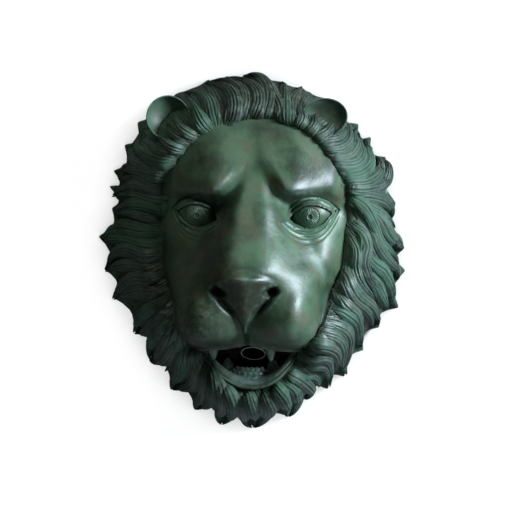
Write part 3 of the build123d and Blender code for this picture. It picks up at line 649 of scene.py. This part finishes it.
def makeEye(name, side):
    s = eyeSet
    eyeX, eyeZ = s["place"]
    lean = np.radians(np.linspace(0.4, s["capAngle"], s["rings"]))[:, None]
    turn = ringTurns(s["corners"])
    reach = s["ball"] * np.sin(lean)
    edge = s["irisRadius"] - s["irisEdge"]
    iris = ease(reach, s["pupil"], s["pupil"] + 1) * (1 - ease(reach, edge, s["irisRadius"]))
    sink = s["spokeSink"] * iris * (0.5 + 0.5 * np.cos(s["spokes"] * turn))
    sink = sink + s["pupilSink"] * (1 - ease(reach, s["pupil"] * 0.6, s["pupil"]))
    radius = s["ball"] - sink - ridge(reach, s["rimSink"], s["irisRadius"], s["rimWidth"])
    x = side * eyeX + radius * np.sin(lean) * np.cos(turn)
    z = eyeZ + radius * np.sin(lean) * np.sin(turn)
    eye = tubePiece(name, place(x, s["depth"] + radius * np.cos(lean), z))
    finishPiece(eye, "bronze", None, (10, 0.35), angle=60)


# teeth

fangSet = dict(radius=7.0, across=(-43.0, 21.0), forward=13.0, tipZ=-104.0, rings=14, corners=18, hook=4.0,
               powers=(2.6, 0.7), tip=0.15)
# gum and floor: reach, foot, height, wave
toothSet = dict(gum=((28.0, 38.0), -134.0, 16.0, 0.8), floor=((22.0, 46.0), -137.0, 15.0, 0.4), span=62.0,
                gumSteps=60, gumCorners=20, gumPower=0.6, waveFrom=0.3, shift=-4.0, count=6, pitch=9.5,
                width=6.2, thick=4.6, height=7.0, rings=10, corners=16, power=0.7, sunk=2.0, forward=1.0,
                fangTurn=50.0, fangRadius=6.2, fangHeight=15.0, fangHook=-2.0)


def fang(name, root, radius, length, hook, up):
    s = fangSet
    t = np.linspace(0, 1, s["rings"])[:, None]
    turn = ringTurns(s["corners"])
    r = radius * (1 - t ** s["powers"][0]) ** s["powers"][1] + s["tip"]
    x = root[0] + r * np.cos(turn)
    depth = root[1] + r * np.sin(turn) - hook * t**2
    return tubePiece(name, place(x, depth, root[2] + up * length * t + 0 * turn))


def makeUpperFangs():
    s = fangSet
    low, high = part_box("upper_fangs")
    forward = -(low.y + high.y) / 2 / mm + s["forward"]
    top = high.z / mm
    pieces = [fang("fangPart", (x, forward, top), s["radius"], top - s["tipZ"], s["hook"], -1)
              for x in s["across"]]
    finishPiece(joined("upperFangs", pieces), "toothBronzePaintedLight", "upper_fangs", (6, 0.5))


def gumArc(part, centre):
    s = toothSet
    reach, low, height, wave = part
    angles = np.radians(np.linspace(-s["span"], s["span"], s["gumSteps"]))[:, None]
    turn = ringTurns(s["gumCorners"])
    ring, half = sum(reach) / 2, (reach[1] - reach[0]) / 2
    radius = ring + half * squared(np.cos(turn), s["gumPower"])
    z = low + height / 2 * (1 + squared(np.sin(turn), s["gumPower"]))
    z = z + wave * np.cos(np.degrees(angles) * fullTurn / s["pitch"]) * (np.sin(turn) > s["waveFrom"])
    x, depth = radius * np.sin(angles) + s["shift"], centre + radius * np.cos(angles)
    return tubePiece("gumPart", place(x, depth, z))


def incisor(angle, ring, centre, top):
    s = toothSet
    t = np.linspace(0, 1, s["rings"])[:, None]
    turn = ringTurns(s["corners"])
    blunt = (1 - t**5) ** 0.5 * 0.96 + 0.04
    across = s["width"] / 2 * blunt * squared(np.cos(turn), s["power"])
    along = s["thick"] / 2 * blunt * squared(np.sin(turn), s["power"]) * (1 - 0.5 * t)
    x = across * math.cos(angle) + (ring + along) * math.sin(angle) + s["shift"]
    depth = centre + (ring + along) * math.cos(angle) - across * math.sin(angle)
    return tubePiece("incisor", place(x, depth, top + s["height"] * t + 0 * turn))


def makeLowerTeeth():
    s = toothSet
    low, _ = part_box("lower_teeth")
    (inner, outer), foot, height, _ = s["gum"]
    centre = -low.y / mm - outer
    ring, top = (inner + outer) / 2, foot + height - s["sunk"]
    pieces = [gumArc(s["gum"], centre), gumArc(s["floor"], centre)]
    for i in range(s["count"]):
        angle = math.radians((i - (s["count"] - 1) / 2) * s["pitch"])
        pieces.append(incisor(angle, ring + s["forward"], centre, top))
    for side in (-1, 1):
        angle = math.radians(side * s["fangTurn"])
        root = (ring * math.sin(angle) + s["shift"], centre + ring * math.cos(angle), top)
        pieces.append(fang("lowerFang", root, s["fangRadius"], s["fangHeight"], s["fangHook"], 1))
    finishPiece(joined("lowerTeeth", pieces), "toothBronzePaintedLight", "lower_teeth", (8, 0.5))


# mane: dome between the hairline and the rim, in polar places round the face

maneSet = dict(
    rim=7.0, step=1.0, roll=6.0, rollPower=0.7, power=1.5, bend=0.9, flat=0.7, crownBand=(0.45, 0.8),
    sink=5.0, wall=3.5, baseRows=46, innerShare=-0.06, edgeDepths=(3.5, 0.3), notch=9.0, crownNotch=8.0,
    tipGap=-3.0, crownGap=4.0, sideReach=0.22, sideTurn=0.45, sideHeight=0.40, shadeDrop=14.0,
    shadeTurns=(195, 232, 292, 316), swell=10.0, swellForm=((318, 0.85), (15, 0.3)), outerFall=20.0,
    skinIn=5.0, skinBand=(-0.08, 0.22), browBand=(0.55, 0.35), smoothRim=4, smoothDepth=14,
)
crownTips = [(-119, 181), (-97, 189), (-61, 205), (-40, 209), (-10, 213), (26, 203), (47, 198), (77, 184),
             (92, 174)]
rightTips = [(111, 149), (125, 135), (142, 112), (153, 60), (164, 9), (165, -17), (158, -60), (136, -83),
             (118, -110), (97, -142)]
beardTips = [(78, -157), (54, -170), (32, -190), (-9, -203), (-44, -201), (-76, -183), (-104, -159)]
leftTips = [(-126, -125), (-145, -94), (-171, -53), (-180, -21), (-186, 17), (-170, 50), (-173, 75),
            (-168, 93), (-155, 123), (-140, 149)]
allTips = crownTips + rightTips + beardTips + leftTips
tableTurns = np.linspace(0, fullTurn, 720, endpoint=False)


def clock(x, z):  # angle clockwise from the crown
    return np.arctan2(x, z) % fullTurn


def midTurn(here, after):  # half way from one tip to the next
    start = clock(*here)
    return start + ((clock(*after) - start) % fullTurn) / 2


def faceOutline():
    half = jawSet["half"]
    xs = np.linspace(-faceSet["templeX"], faceSet["templeX"], 105)
    chinX = np.linspace(half, -half, 25)
    chin = jawSet["chinZ"] + jawSet["chinRise"] * (np.abs(chinX) / half) ** jawSet["chinPower"]
    right, left = xs[xs > half][::-1], xs[xs < -half][::-1]
    parts = [(xs, faceTop(xs)), (right, faceBottom(right)), (chinX, chin), (left, faceBottom(left))]
    return np.concatenate([np.stack(part, axis=-1) for part in parts])


def smoothRound(values, reach):
    wrapped = np.concatenate([values[-reach:], values, values[:reach]])
    return np.convolve(wrapped, kernel(reach), "valid")


def outlineTable():
    line = faceOutline()
    after = np.roll(line, -1, axis=0)
    radii = []
    for turn in tableTurns:
        dx, dz = math.sin(turn), math.cos(turn)
        side0, side1 = line[:, 0] * dz - line[:, 1] * dx, after[:, 0] * dz - after[:, 1] * dx
        crossing = (side0 * side1 <= 0) & (side0 != side1)
        share = side0[crossing] / (side0[crossing] - side1[crossing])
        spots = line[crossing] + share[:, None] * (after[crossing] - line[crossing])
        radii.append((spots @ np.array([dx, dz])).max())
    return smoothRound(np.array(radii), maneSet["smoothRim"])


def skinDepth(x, z):
    onJaw = (np.abs(x) < jawSet["half"]) & (z < jawSet["skinZ"])
    return np.where(onJaw, jawRelief(x, z), broadRelief(x, z))


def shadeSide(turn):  # 1 where the hair falls back behind the left cheek
    a, b, c, d = maneSet["shadeTurns"]
    turn = np.degrees(turn) % 360
    return ease(turn, a, b) * (1 - ease(turn, c, d))


def depthTable(radii):
    inside = radii - maneSet["skinIn"]
    skin = skinDepth(inside * np.sin(tableTurns), inside * np.cos(tableTurns))
    return smoothRound(skin, maneSet["smoothDepth"]) - maneSet["shadeDrop"] * shadeSide(tableTurns)


def fullTable(turns, values):
    order = np.argsort(turns)
    return np.interp(tableTurns, np.array(turns)[order], np.array(values)[order], period=fullTurn)


def notches():  # turn and radius of the dip after each tip
    turns, radii = [], []
    for here, after in zip(allTips, allTips[1:] + allTips[:1]):
        notch = maneSet["crownNotch"] if here in crownTips else maneSet["notch"]
        turns.append(midTurn(here, after) % fullTurn)
        radii.append((math.hypot(*here) + math.hypot(*after)) / 2 - notch)
    return turns, radii


def toothTable(turns, radii):  # the rim with its pointed tips
    s = maneSet
    tips = []
    for tip in allTips:
        gap = s["crownGap"] if tip in crownTips else s["tipGap"]
        tips.append((clock(*tip), math.hypot(*tip) - gap))
    rim = list(zip(turns, radii)) + tips
    for turn, radius in tips:
        for other, low in zip(turns, radii):
            apart = (other - turn + math.pi) % fullTurn - math.pi
            if abs(apart) < s["sideReach"]:  # full sides to each tooth
                side = (turn + apart * s["sideTurn"]) % fullTurn
                rim.append((side, low + (radius - low) * s["sideHeight"]))
    return fullTable(*zip(*rim))


innerTable = outlineTable()
highTable = depthTable(innerTable)
outerTable = smoothRound(fullTable(*notches()), maneSet["smoothRim"])
rimTable = toothTable(*notches())


def around(turn, table):
    return np.interp(turn, tableTurns, table, period=fullTurn)


def maneDepth(turn, share):
    s = maneSet
    high = around(turn, highTable) + s["step"]
    inside = np.clip(share, 0, 1)
    fall = (1 - inside ** s["power"]) ** s["bend"]
    flat = s["flat"] * np.maximum(shadeSide(turn), ease(np.cos(turn), *s["crownBand"]))
    roll = s["roll"] * (1 - flat) * np.sin(math.pi * inside ** s["rollPower"])
    swell = s["swell"] * bell(np.degrees(turn) % 360, share, *s["swellForm"])  # over the upper left lug
    return s["rim"] + (high - s["rim"]) * fall + roll + swell - s["outerFall"] * np.clip(share - 1, 0, 1)


def domeAt(x, z):  # level with the skin at the hairline
    turn = clock(x, z)
    inner, outer = around(turn, innerTable), around(turn, outerTable)
    share = (np.hypot(x, z) - inner) / (outer - inner)  # of the way from hairline to rim
    outside = np.maximum(ease(share, *maneSet["skinBand"]), ease(np.cos(turn), *maneSet["browBand"]))
    skin = skinDepth(x, z)
    return skin + (maneDepth(turn, share) - skin) * outside


def maneSpot(turn, share):
    inner, outer = around(turn, innerTable), around(turn, outerTable)
    radius = inner + (outer - inner) * share
    return radius * np.sin(turn), radius * np.cos(turn)


def maneBase(name, start, span):
    s = maneSet
    turns = start + np.linspace(0, 1, int(math.degrees(span) * 2)) * span
    shares = np.linspace(s["innerShare"], 1.0, s["baseRows"])[:, None]
    x, z = maneSpot(turns[None, :], shares)
    depth = maneDepth(turns[None, :], shares) - s["sink"] * (1 - 0.5 * shares)
    tips = np.maximum(around(turns, rimTable), around(turns, outerTable) + 1)
    rimX, rimZ = tips * np.sin(turns), tips * np.cos(turns)
    edge = [place(rimX, np.full(len(turns), d), rimZ)[None] for d in s["edgeDepths"]]
    base = gridPiece(name, np.concatenate([place(x, depth, z), *edge]))
    thicken(base, s["wall"])
    return base


# locks of hair: tapered, grooved sweeps laid on the dome, each through places seen in the photo's frame

lockSet = dict(
    rings=34, strand=4.0, samples=5, groove=1.5, bury=8.0, height=9.5, widen=1.22, lean=0.25, rootSink=2.5,
    rise=0.30, browRise=0.25, browBand=(0.4, 0.8), facing=1.3, slopeStep=2.0, wallGap=0.4, lineSteps=40,
    smooth=5, browTurn=0.45, browBack=(5, 13),
    looseSides=(-0.24, 0.22), looseWidth=0.26, looseVary=0.08, looseEnd=0.93, looseHeight=3.2, looseLift=4.0,
    rootsApart=42, tipsApart=52, betweenEnd=0.8, betweenWiden=1.1, betweenDrop=4, lowLift=-1.5,
    backTurns=(-52, 53, 5.0), backSway=0.1, backTurnOver=0.15, backShares=(0.25, 0.45, 0.75, 1.02),
    backWidth=34, backHeight=6.0,
)
chance = np.random.default_rng(7)
locks = [  # width in mm, lift in mm, then places from root to tip
    (20, 2, (208, 130), (203, 124), (199, 116), (194, 106), (184, 94)),
    (22, 0, (215, 124), (213, 112), (209, 102), (199, 95), (184, 92)),
    (22, 2, (228, 123), (234, 108), (231, 94), (220, 87), (205, 83)),
    (22, 0, (240, 119), (245, 104), (240, 90), (227, 82), (209, 81)),
    (22, 2, (253, 117), (259, 103), (254, 89), (239, 81), (224, 78)),
    (24, 0, (264, 116), (268, 102), (265, 88), (256, 79), (243, 75)),
    (20, 2, (272, 113), (271, 97), (265, 84), (256, 76), (247, 74)),
    (20, 0, (281, 122), (281, 110), (276, 100), (271, 90), (268, 82)),
    (22, 2, (290, 122), (287, 106), (285, 92), (282, 81)),
    (20, 0, (295, 122), (293, 106), (297, 96), (302, 86)),
    (15, 3, (299, 127), (302, 120), (300, 112), (304, 101), (312, 94)),
    (15, 1, (309, 132), (314, 126), (314, 119), (320, 108)),
    (15, 3, (318, 138), (326, 133), (330, 126), (330, 116)),
    (16, 1, (324, 143), (335, 141), (343, 135), (345, 126)),
    (16, 3, (327, 149), (339, 148), (347, 141), (348, 130), (348, 123)),
    (18, 1, (335, 159), (349, 157), (356, 148), (354, 137), (356, 128)),
    (18, 3, (341, 166), (354, 165), (361, 156), (359, 144), (359, 132)),
    (20, 1, (344, 175), (358, 173), (368, 163), (367, 149), (366, 138)),
    (20, 3, (345, 182), (363, 183), (376, 175), (380, 164), (377, 156)),
    (20, 1, (352, 188), (371, 188), (384, 179), (388, 167), (384, 159)),
    (16, 3, (347, 187), (363, 190), (379, 186), (388, 179), (389, 171)),
    (20, 0, (354, 193), (369, 195), (383, 200), (391, 211), (391, 219)),
    (18, 2, (371, 206), (381, 221), (390, 236), (399, 245), (402, 251)),
    (18, 3, (352, 196), (363, 206), (371, 221), (379, 240), (394, 257), (401, 275)),
    (16, 1, (364, 210), (372, 231), (377, 246), (388, 261), (398, 272), (397, 281)),
    (18, 3, (366, 246), (370, 261), (382, 272), (389, 286), (392, 299), (398, 308)),
    (16, 1, (365, 265), (373, 281), (380, 293), (384, 302), (388, 309)),
    (18, 3, (349, 221), (360, 231), (365, 246), (363, 263), (368, 279), (377, 292), (381, 305)),
    (16, 1, (348, 231), (355, 248), (355, 268), (359, 283), (369, 295), (376, 306)),
    (18, 3, (346, 246), (347, 268), (349, 283), (357, 295), (370, 305), (377, 317), (379, 326)),
    (16, 1, (342, 270), (344, 285), (352, 299), (363, 308), (370, 318), (372, 329)),
    (18, 3, (337, 288), (345, 304), (355, 315), (359, 331), (362, 348)),
    (18, 1, (330, 308), (342, 314), (353, 323), (357, 336), (358, 348)),
    (20, 3, (325, 322), (339, 327), (347, 335), (347, 350), (344, 365), (347, 375)),
    (18, 1, (318, 333), (333, 337), (341, 347), (341, 361), (342, 374)),
    (18, 3, (304, 348), (319, 345), (332, 350), (336, 360), (333, 372)),
    (18, 1, (298, 354), (312, 358), (324, 358), (329, 368), (330, 388)),
    (16, 3, (294, 363), (306, 367), (318, 364), (325, 369), (328, 389)),
    (16, 1, (291, 368), (303, 374), (313, 373), (317, 380), (319, 388)),
    (18, 3, (286, 373), (296, 378), (307, 384), (311, 392), (306, 400)),
    (18, 1, (280, 379), (291, 387), (296, 396), (295, 407), (289, 417)),
    (18, 3, (269, 384), (279, 392), (284, 402), (286, 410), (287, 417)),
    (20, 1, (257, 388), (267, 398), (270, 409), (263, 419), (254, 428)),
    (18, 3, (244, 388), (251, 402), (255, 414), (253, 428)),
    (18, 1, (231, 388), (240, 401), (243, 411), (245, 420), (252, 428)),
    (18, 3, (217, 381), (227, 392), (233, 405), (231, 416), (222, 425)),
    (18, 1, (211, 373), (220, 388), (223, 404), (219, 415), (221, 425)),
    (18, 3, (207, 363), (214, 381), (213, 396), (206, 405), (196, 410)),
    (18, 1, (200, 357), (205, 374), (204, 392), (197, 402), (195, 410)),
    (20, 3, (193, 350), (198, 368), (195, 382), (184, 387), (172, 390)),
    (18, 1, (182, 340), (183, 356), (180, 371), (174, 381), (171, 390)),
    (18, 3, (176, 332), (172, 349), (166, 359), (157, 361), (149, 360)),
    (18, 1, (174, 322), (169, 337), (164, 349), (157, 357), (149, 359)),
    (20, 3, (172, 313), (166, 326), (157, 336), (151, 346), (149, 359)),
    (20, 1, (171, 303), (165, 317), (155, 326), (145, 332), (134, 334)),
    (20, 3, (171, 292), (160, 305), (147, 312), (138, 321), (133, 333)),
    (20, 1, (170, 283), (157, 294), (142, 292), (128, 293), (113, 300)),
    (20, 3, (168, 272), (152, 279), (135, 279), (121, 288), (112, 299)),
    (20, 1, (166, 262), (150, 268), (132, 265), (117, 266), (105, 272)),
    (20, 3, (166, 252), (148, 256), (130, 250), (115, 254), (105, 270)),
    (20, 1, (165, 243), (148, 243), (130, 238), (113, 237), (101, 240)),
    (20, 3, (165, 232), (147, 231), (127, 227), (112, 230), (101, 239)),
    (20, 1, (165, 220), (147, 216), (131, 212), (114, 214)),
    (18, 3, (165, 210), (149, 205), (133, 204), (122, 208), (114, 213)),
    (18, 1, (165, 200), (149, 196), (130, 192), (111, 197)),
    (18, 3, (166, 191), (148, 187), (135, 185), (124, 189), (112, 195)),
    (18, 1, (167, 183), (153, 181), (142, 176), (130, 178), (117, 179)),
    (18, 3, (168, 176), (154, 175), (142, 171), (131, 170), (121, 171)),
    (20, 1, (169, 170), (154, 171), (141, 166), (132, 155), (135, 139)),
    (18, 3, (172, 163), (158, 162), (146, 155), (138, 146), (141, 130)),
    (15, 1, (172, 156), (160, 152), (152, 144), (147, 134)),
    (15, 3, (181, 150), (171, 147), (163, 140), (157, 131)),
    (15, 1, (187, 142), (177, 138), (170, 131), (166, 122)),
    (15, 3, (194, 136), (186, 132), (180, 125), (175, 115)),
]


def seen(spot, lift):  # the place on the hair that the camera sees at this spot of the picture
    c = cameraSet
    az = math.radians(c["azimuth"])
    out = cameraOut()
    right = np.array([math.cos(az), math.sin(az), 0.0])
    up = np.cross(right, -out)
    eye = np.array(c["target"]) + out * c["distance"]
    scale = c["mmPerPixel"] * mm / c["distance"]
    middle = c["pixels"] / 2
    ray = -out + right * (spot[0] - middle) * scale + up * (middle - spot[1]) * scale
    depth = 30.0
    for _ in range(12):
        hit = eye + ray * ((-depth * mm - eye[1]) / ray[1])
        x, z = hit[0] / mm, hit[2] / mm
        depth = 0.5 * depth + 0.5 * (float(domeAt(x, z)) + lift)
    return x, z


def throughLine(points, count):  # a smooth line through the points
    p = np.array(points, dtype=float)
    p = np.concatenate([[2 * p[0] - p[1]], p, [2 * p[-1] - p[-2]]])
    along = np.linspace(0, len(p) - 3 - 1e-6, count)
    i = along.astype(int)
    t = (along - i)[:, None]
    a, b, c, d = p[i], p[i + 1], p[i + 2], p[i + 3]
    return 0.5 * (2 * b + (c - a) * t + (2 * a - 5 * b + 4 * c - d) * t**2 + (3 * b - a - 3 * c + d) * t**3)


def partPath(points, end):  # the first part of a lock's line
    steps = lockSet["lineSteps"]
    return throughLine(points, steps)[np.linspace(0, (steps - 1) * end, lockSet["smooth"]).astype(int)]


def lockAxes(spine):  # across the lock, and out of the dome
    x, _, z = spine.T
    step = lockSet["slopeStep"]
    slopeX = np.clip((domeAt(x + step, z) - domeAt(x - step, z)) / (2 * step), -2, 2)
    slopeZ = np.clip((domeAt(x, z + step) - domeAt(x, z - step)) / (2 * step), -2, 2)
    normal = np.stack([-slopeX, np.full(len(x), lockSet["facing"]), -slopeZ], axis=-1)
    along = unit(np.gradient(spine, axis=0))
    sideways = unit(np.cross(along, normal))
    return sideways, np.cross(sideways, along)


def lockSweep(points, width, height, lift, lean=0.0, aside=0.0):
    s = lockSet
    t = np.linspace(0, 1, s["rings"])
    line = throughLine(points, s["rings"])
    tangent = unit(np.gradient(line, axis=0))
    side = np.stack([tangent[:, 1], -tangent[:, 0]], axis=-1)
    x, z = (line + side * (aside * np.sin(math.pi * np.clip(t * 1.1, 0, 1)))[:, None]).T
    upright = np.cos(clock(x[0], z[0]))
    rise = ease(t, 0.0, s["rise"] + s["browRise"] * ease(upright, *s["browBand"]))
    spine = np.stack([x, domeAt(x, z) + lift * rise - s["rootSink"] * (1 - rise), z], axis=-1)
    sideways, up = lockAxes(spine)
    breadth = width / 2 * (0.55 + 0.45 * np.sin(math.pi * np.clip(t / 0.85, 0, 1))) * (1 - t**4) ** 0.75
    tall = height * (0.04 + 0.96 * rise) * (1 - 0.35 * t) * (1 - t**8)
    strands = max(round(width / s["strand"]), 2)
    across = np.linspace(-1, 1, strands * s["samples"] + 1)[None, :]
    phase = chance.uniform(0, fullTurn)
    drift = (0.7 * np.sin(t * 3.5 + phase) + 0.4 * np.sin(t * 9 + 2 * phase))[:, None]
    combed = np.abs(np.cos(0.5 * math.pi * strands * (across + 1) + drift)) ** 0.8
    deep = s["groove"] * (0.55 + 0.45 * rise)[:, None] * (0.8 + 0.4 * np.sin(across * 7 + phase))
    crown = tall[:, None] * ((1 - np.abs(across) ** 2.4) + lean * across) - deep * (1 - combed)
    below = np.linspace(1, -1, 5)[1:-1][None, :]  # the buried underside
    reach = breadth[:, None] * np.concatenate([across, below], axis=1)
    high = np.concatenate([crown, np.full((len(t), below.size), -s["bury"])], axis=1)
    rings = spine[:, None] + sideways[:, None] * reach[..., None] + up[:, None] * high[..., None]
    rings[..., 1] = np.maximum(rings[..., 1], s["wallGap"])
    piece = tubePiece("lock", place(*rings.transpose(2, 0, 1)))
    rooted = (1 - ease(t, 0.18, 0.5)) * np.maximum(ease(upright, 0.0, 0.5), ease(-upright, 0.75, 0.92))
    mark(piece.data, "root", np.repeat(rooted, rings.shape[1]))
    return piece


def makeLocks():  # each lock with loose strands on top, and a lower lock between neighbours
    s = lockSet
    paths = [[seen(spot, lift) for spot in spots] for _, lift, *spots in locks]
    for path in paths:  # on the brow the hair grows out of the skin
        (x0, z0), (x1, z1) = path[:2]
        if math.cos(clock(x0, z0)) > s["browTurn"]:
            back = chance.uniform(*s["browBack"]) / math.hypot(x1 - x0, z1 - z0)
            path.insert(0, (x0 + (x0 - x1) * back, z0 + (z0 - z1) * back))
    made = []
    for i, (width, lift, *_) in enumerate(locks):
        path = paths[i]
        lean = s["lean"] * chance.uniform(-1, 1)
        made.append((path[-1], lockSweep(path, width * s["widen"], s["height"], lift, lean)))
        for aside in s["looseSides"]:
            strand = width * (s["looseWidth"] + s["looseVary"] * chance.uniform(-1, 1))
            off = width * (aside + s["looseVary"] * chance.uniform(-1, 1))
            loose, high = partPath(path, s["looseEnd"]), lift + s["looseLift"]
            made.append((path[-1], lockSweep(loose, strand, s["looseHeight"], high, 0.0, off)))
        after = paths[(i + 1) % len(paths)]
        roots, tips = math.dist(path[0], after[0]), math.dist(path[-1], after[-1])
        if roots < s["rootsApart"] and tips < s["tipsApart"]:
            between = (partPath(path, s["betweenEnd"]) + partPath(after, s["betweenEnd"])) / 2
            wide, high = width * s["betweenWiden"], s["height"] - s["betweenDrop"]
            made.append((tuple(between[-1]), lockSweep(between, wide, high, s["lowLift"])))
    for turn in np.radians(np.arange(*s["backTurns"])):  # behind the ears and along the back of the crown
        sway = s["backSway"] if turn > s["backTurnOver"] else -s["backSway"]
        path = [maneSpot(turn + sway * share**2, share) for share in s["backShares"]]
        made.append((path[-1], lockSweep(path, s["backWidth"], s["backHeight"], s["lowLift"])))
    return made


# painted shade under the chin and at the left corner of the mouth
chinPaintedShade = dict(chin=(0.6, (-6, -148), (44, 14)), leftCorner=(0.7, (-38, -125), (16, 18)))


def manePaintedShade(x, z):  # painted shade: dark at the crown, round the chin and low on the beard
    crown = 0.9 * ease(z, 130, 185) * ease(x, -80, -20) * (1 - ease(x, 60, 120))
    return crown + bells(x, z, chinPaintedShade) + 0.1 * ease(-z, 150, 185)


def sector(name, node, before, tips, after, lockPieces):
    start = midTurn(before, tips[0])
    span = (midTurn(tips[-1], after) - start) % fullTurn
    pieces = [maneBase(name, start, span)]
    pieces += [piece for tip, piece in lockPieces if (clock(*tip) - start) % fullTurn < span]
    print(name, "locks:", len(pieces) - 1)
    finishPiece(joined(name, pieces), "hairBronze", node, (6, 0.55), stain=manePaintedShade)


# ears

earSet = dict(
    radius=25.0, wall=4.0, rimThin=0.72, curl=100.0, rings=30, corners=72,
    earLeft=dict(centre=(-99, 58, 163), facing=(0.25, 0.9, 0.15), roll=0, stretch=(1.0, 1.0), cup=0.62),
    earRight=dict(centre=(76, 60, 165), facing=(0.20, 0.9, 0.15), roll=-8, stretch=(1.08, 0.86), cup=0.36),
)


def makeEar(name, node):
    s, own = earSet, earSet[name]
    share = np.linspace(0.02, 1.0, s["rings"])[:, None]
    lean = share * math.radians(s["curl"])
    turn = ringTurns(s["corners"])
    wide, tall = own["stretch"]
    shells = []
    for wall in (0.0, s["wall"]):
        radius = s["radius"] - wall * (1 - s["rimThin"] * share**2)  # the wall thins to the rim
        u = radius * np.sin(lean) * np.cos(turn) * wide
        v = radius * np.sin(lean) * np.sin(turn) * tall
        w = -radius * np.cos(lean) * own["cup"] + 0 * turn
        shells.append(np.stack([u, v, w], axis=-1))
    rings = np.concatenate([shells[0], shells[1][::-1]])
    axis = np.array(own["facing"]) / np.linalg.norm(own["facing"])
    right = np.cross(axis, [0.0, 0.0, 1.0])
    right = right / np.linalg.norm(right)
    upward = np.cross(axis, right)
    c, q = math.cos(math.radians(own["roll"])), math.sin(math.radians(own["roll"]))
    spots = np.array(own["centre"]) + rings @ np.stack([right * c + upward * q, upward * c - right * q, axis])
    ear = tubePiece(name, place(*spots.transpose(2, 0, 1)))
    finishPiece(ear, "earBronze", node, (14, 0.8))


makeFace()
makeJaw()
makeEye("eyeLeft", -1)
makeEye("eyeRight", 1)
makeUpperFangs()
makeLowerTeeth()
print("face made")
lockPieces = makeLocks()
sector("maneCrown", "mane_crown", leftTips[-1], crownTips, rightTips[0], lockPieces)
sector("maneRight", "mane_right", crownTips[-1], rightTips, beardTips[0], lockPieces)
sector("maneBeard", "mane_beard", rightTips[-1], beardTips, leftTips[0], lockPieces)
sector("maneLeft", "mane_left", beardTips[-1], leftTips, crownTips[0], lockPieces)
makeEar("earLeft", "ear_left")
makeEar("earRight", "ear_right")
print("mane and ears made")

# stage, camera and light

stageSet = dict(wallSize=7.0, wallBack=0.0012, floorZ=-0.9, white=(0.30, 0.30, 0.30),
                dark=(0.002, 0.002, 0.002), lift=0.95, wallHidden=0.152, floorHidden=-0.01, soft=0.006,
                near=0.03)
skySet = dict(colour=(0.95, 1.0, 0.65, 1.0), strength=0.014, seen=(1.0, 1.0, 1.0, 1.0))
lampSet = dict(  # place, target, size, power, colour; the last one is for the hollow back
    keyLamp=((1.85, -0.78, 0.80), (0, -0.08, 0), (0.7, 0.7), 94, (0.82, 0.96, 1.08)),
    topLamp=((-0.4, -1.0, 1.8), (0, -0.08, 0.1), (0.8, 0.4), 6, (0.96, 1.0, 0.84)),
    fillLamp=((-1.6, -2.2, 0.3), (0, -0.08, 0), (1.6, 1.6), 0.35, (1.0, 1.0, 0.65)),
    backLamp=((0.3, 2.0, 0.6), (0, 0, 0), (1.2, 1.2), 30, (1.0, 1.0, 1.0)),
)


def stageFinish(name, hidden):  # painted shade: dark within the hidden radius, as seen through the mouth, and a painted contact shadow round the object
    s = stageSet
    f = Finish(name, Roughness=0.9, Specular_IOR_Level=0.0)
    seenRay = f.add("ShaderNodeLightPath", out="Is Camera Ray")
    apart = f.add("ShaderNodeVectorMath", dict(operation="LENGTH"), {0: f.place}, out="Value")
    # black base colour and no glow within the hidden radius: painted shade behind the object
    behind = f.fit(apart, hidden, hidden + s["soft"])
    f.out(Base_Color=f.blend(behind, s["dark"], s["white"]))
    # the glow seen by the camera fades close to the object: a painted contact shadow
    near = f.add("ShaderNodeAmbientOcclusion", dict(samples=8), {"Distance": s["near"]}, out="AO")
    lift = seenRay * behind * (0.35 + 0.65 * near) * s["lift"]
    grey = f.add("ShaderNodeCombineXYZ", None, {0: lift, 1: lift, 2: lift})
    glow = f.add("ShaderNodeEmission", None, {"Color": grey})
    lit = f.add("ShaderNodeAddShader", None, {0: Value(f, f.shader.outputs[0]), 1: glow})
    clear = f.add("ShaderNodeBsdfTransparent")
    back = f.add("ShaderNodeNewGeometry", out="Backfacing")
    oneSided = f.add("ShaderNodeMixShader", None, {0: back, 1: lit, 2: clear})
    f.feed(f.tree.nodes["Material Output"].inputs["Surface"], oneSided)
    return f.material


def addLamp(name, spot, target, size, power, colour):
    bpy.ops.object.light_add(type="AREA", location=spot)
    lamp = bpy.context.object
    lamp.name = name
    lamp.data.shape = "RECTANGLE"
    lamp.data.size, lamp.data.size_y = size
    lamp.data.energy = power
    lamp.data.color = colour
    aim(lamp, target)


bpy.ops.mesh.primitive_plane_add(size=stageSet["wallSize"], location=(0, stageSet["wallBack"], 0),
                                 rotation=(math.radians(90), 0, 0))
wall = bpy.context.object
wall.name = "wall"
wall.visible_shadow = False
bpy.ops.mesh.primitive_plane_add(size=stageSet["wallSize"], location=(0, 0, stageSet["floorZ"]))
floor = bpy.context.object
floor.name = "floor"
for flat in (wall, floor):
    flat.data.materials.append(stageFinish("pale" + flat.name, stageSet[flat.name + "Hidden"]))
addCamera()
for name, lamp in lampSet.items():
    addLamp(name, *lamp)
world = bpy.data.worlds.new("paleSky")
bpy.context.scene.world = world
world.use_nodes = True
sky = world.node_tree
dim = sky.nodes["Background"]
dim.inputs["Color"].default_value = skySet["colour"]
dim.inputs["Strength"].default_value = skySet["strength"]
pale = sky.nodes.new("ShaderNodeBackground")
pale.inputs["Color"].default_value = skySet["seen"]
ray = sky.nodes.new("ShaderNodeLightPath")
either = sky.nodes.new("ShaderNodeMixShader")
for i, socket in enumerate((ray.outputs["Is Camera Ray"], dim.outputs[0], pale.outputs[0])):
    sky.links.new(socket, either.inputs[i])
sky.links.new(either.outputs[0], sky.nodes["World Output"].inputs["Surface"])
bpy.context.scene.view_settings.view_transform = "Standard"
print("stage made")
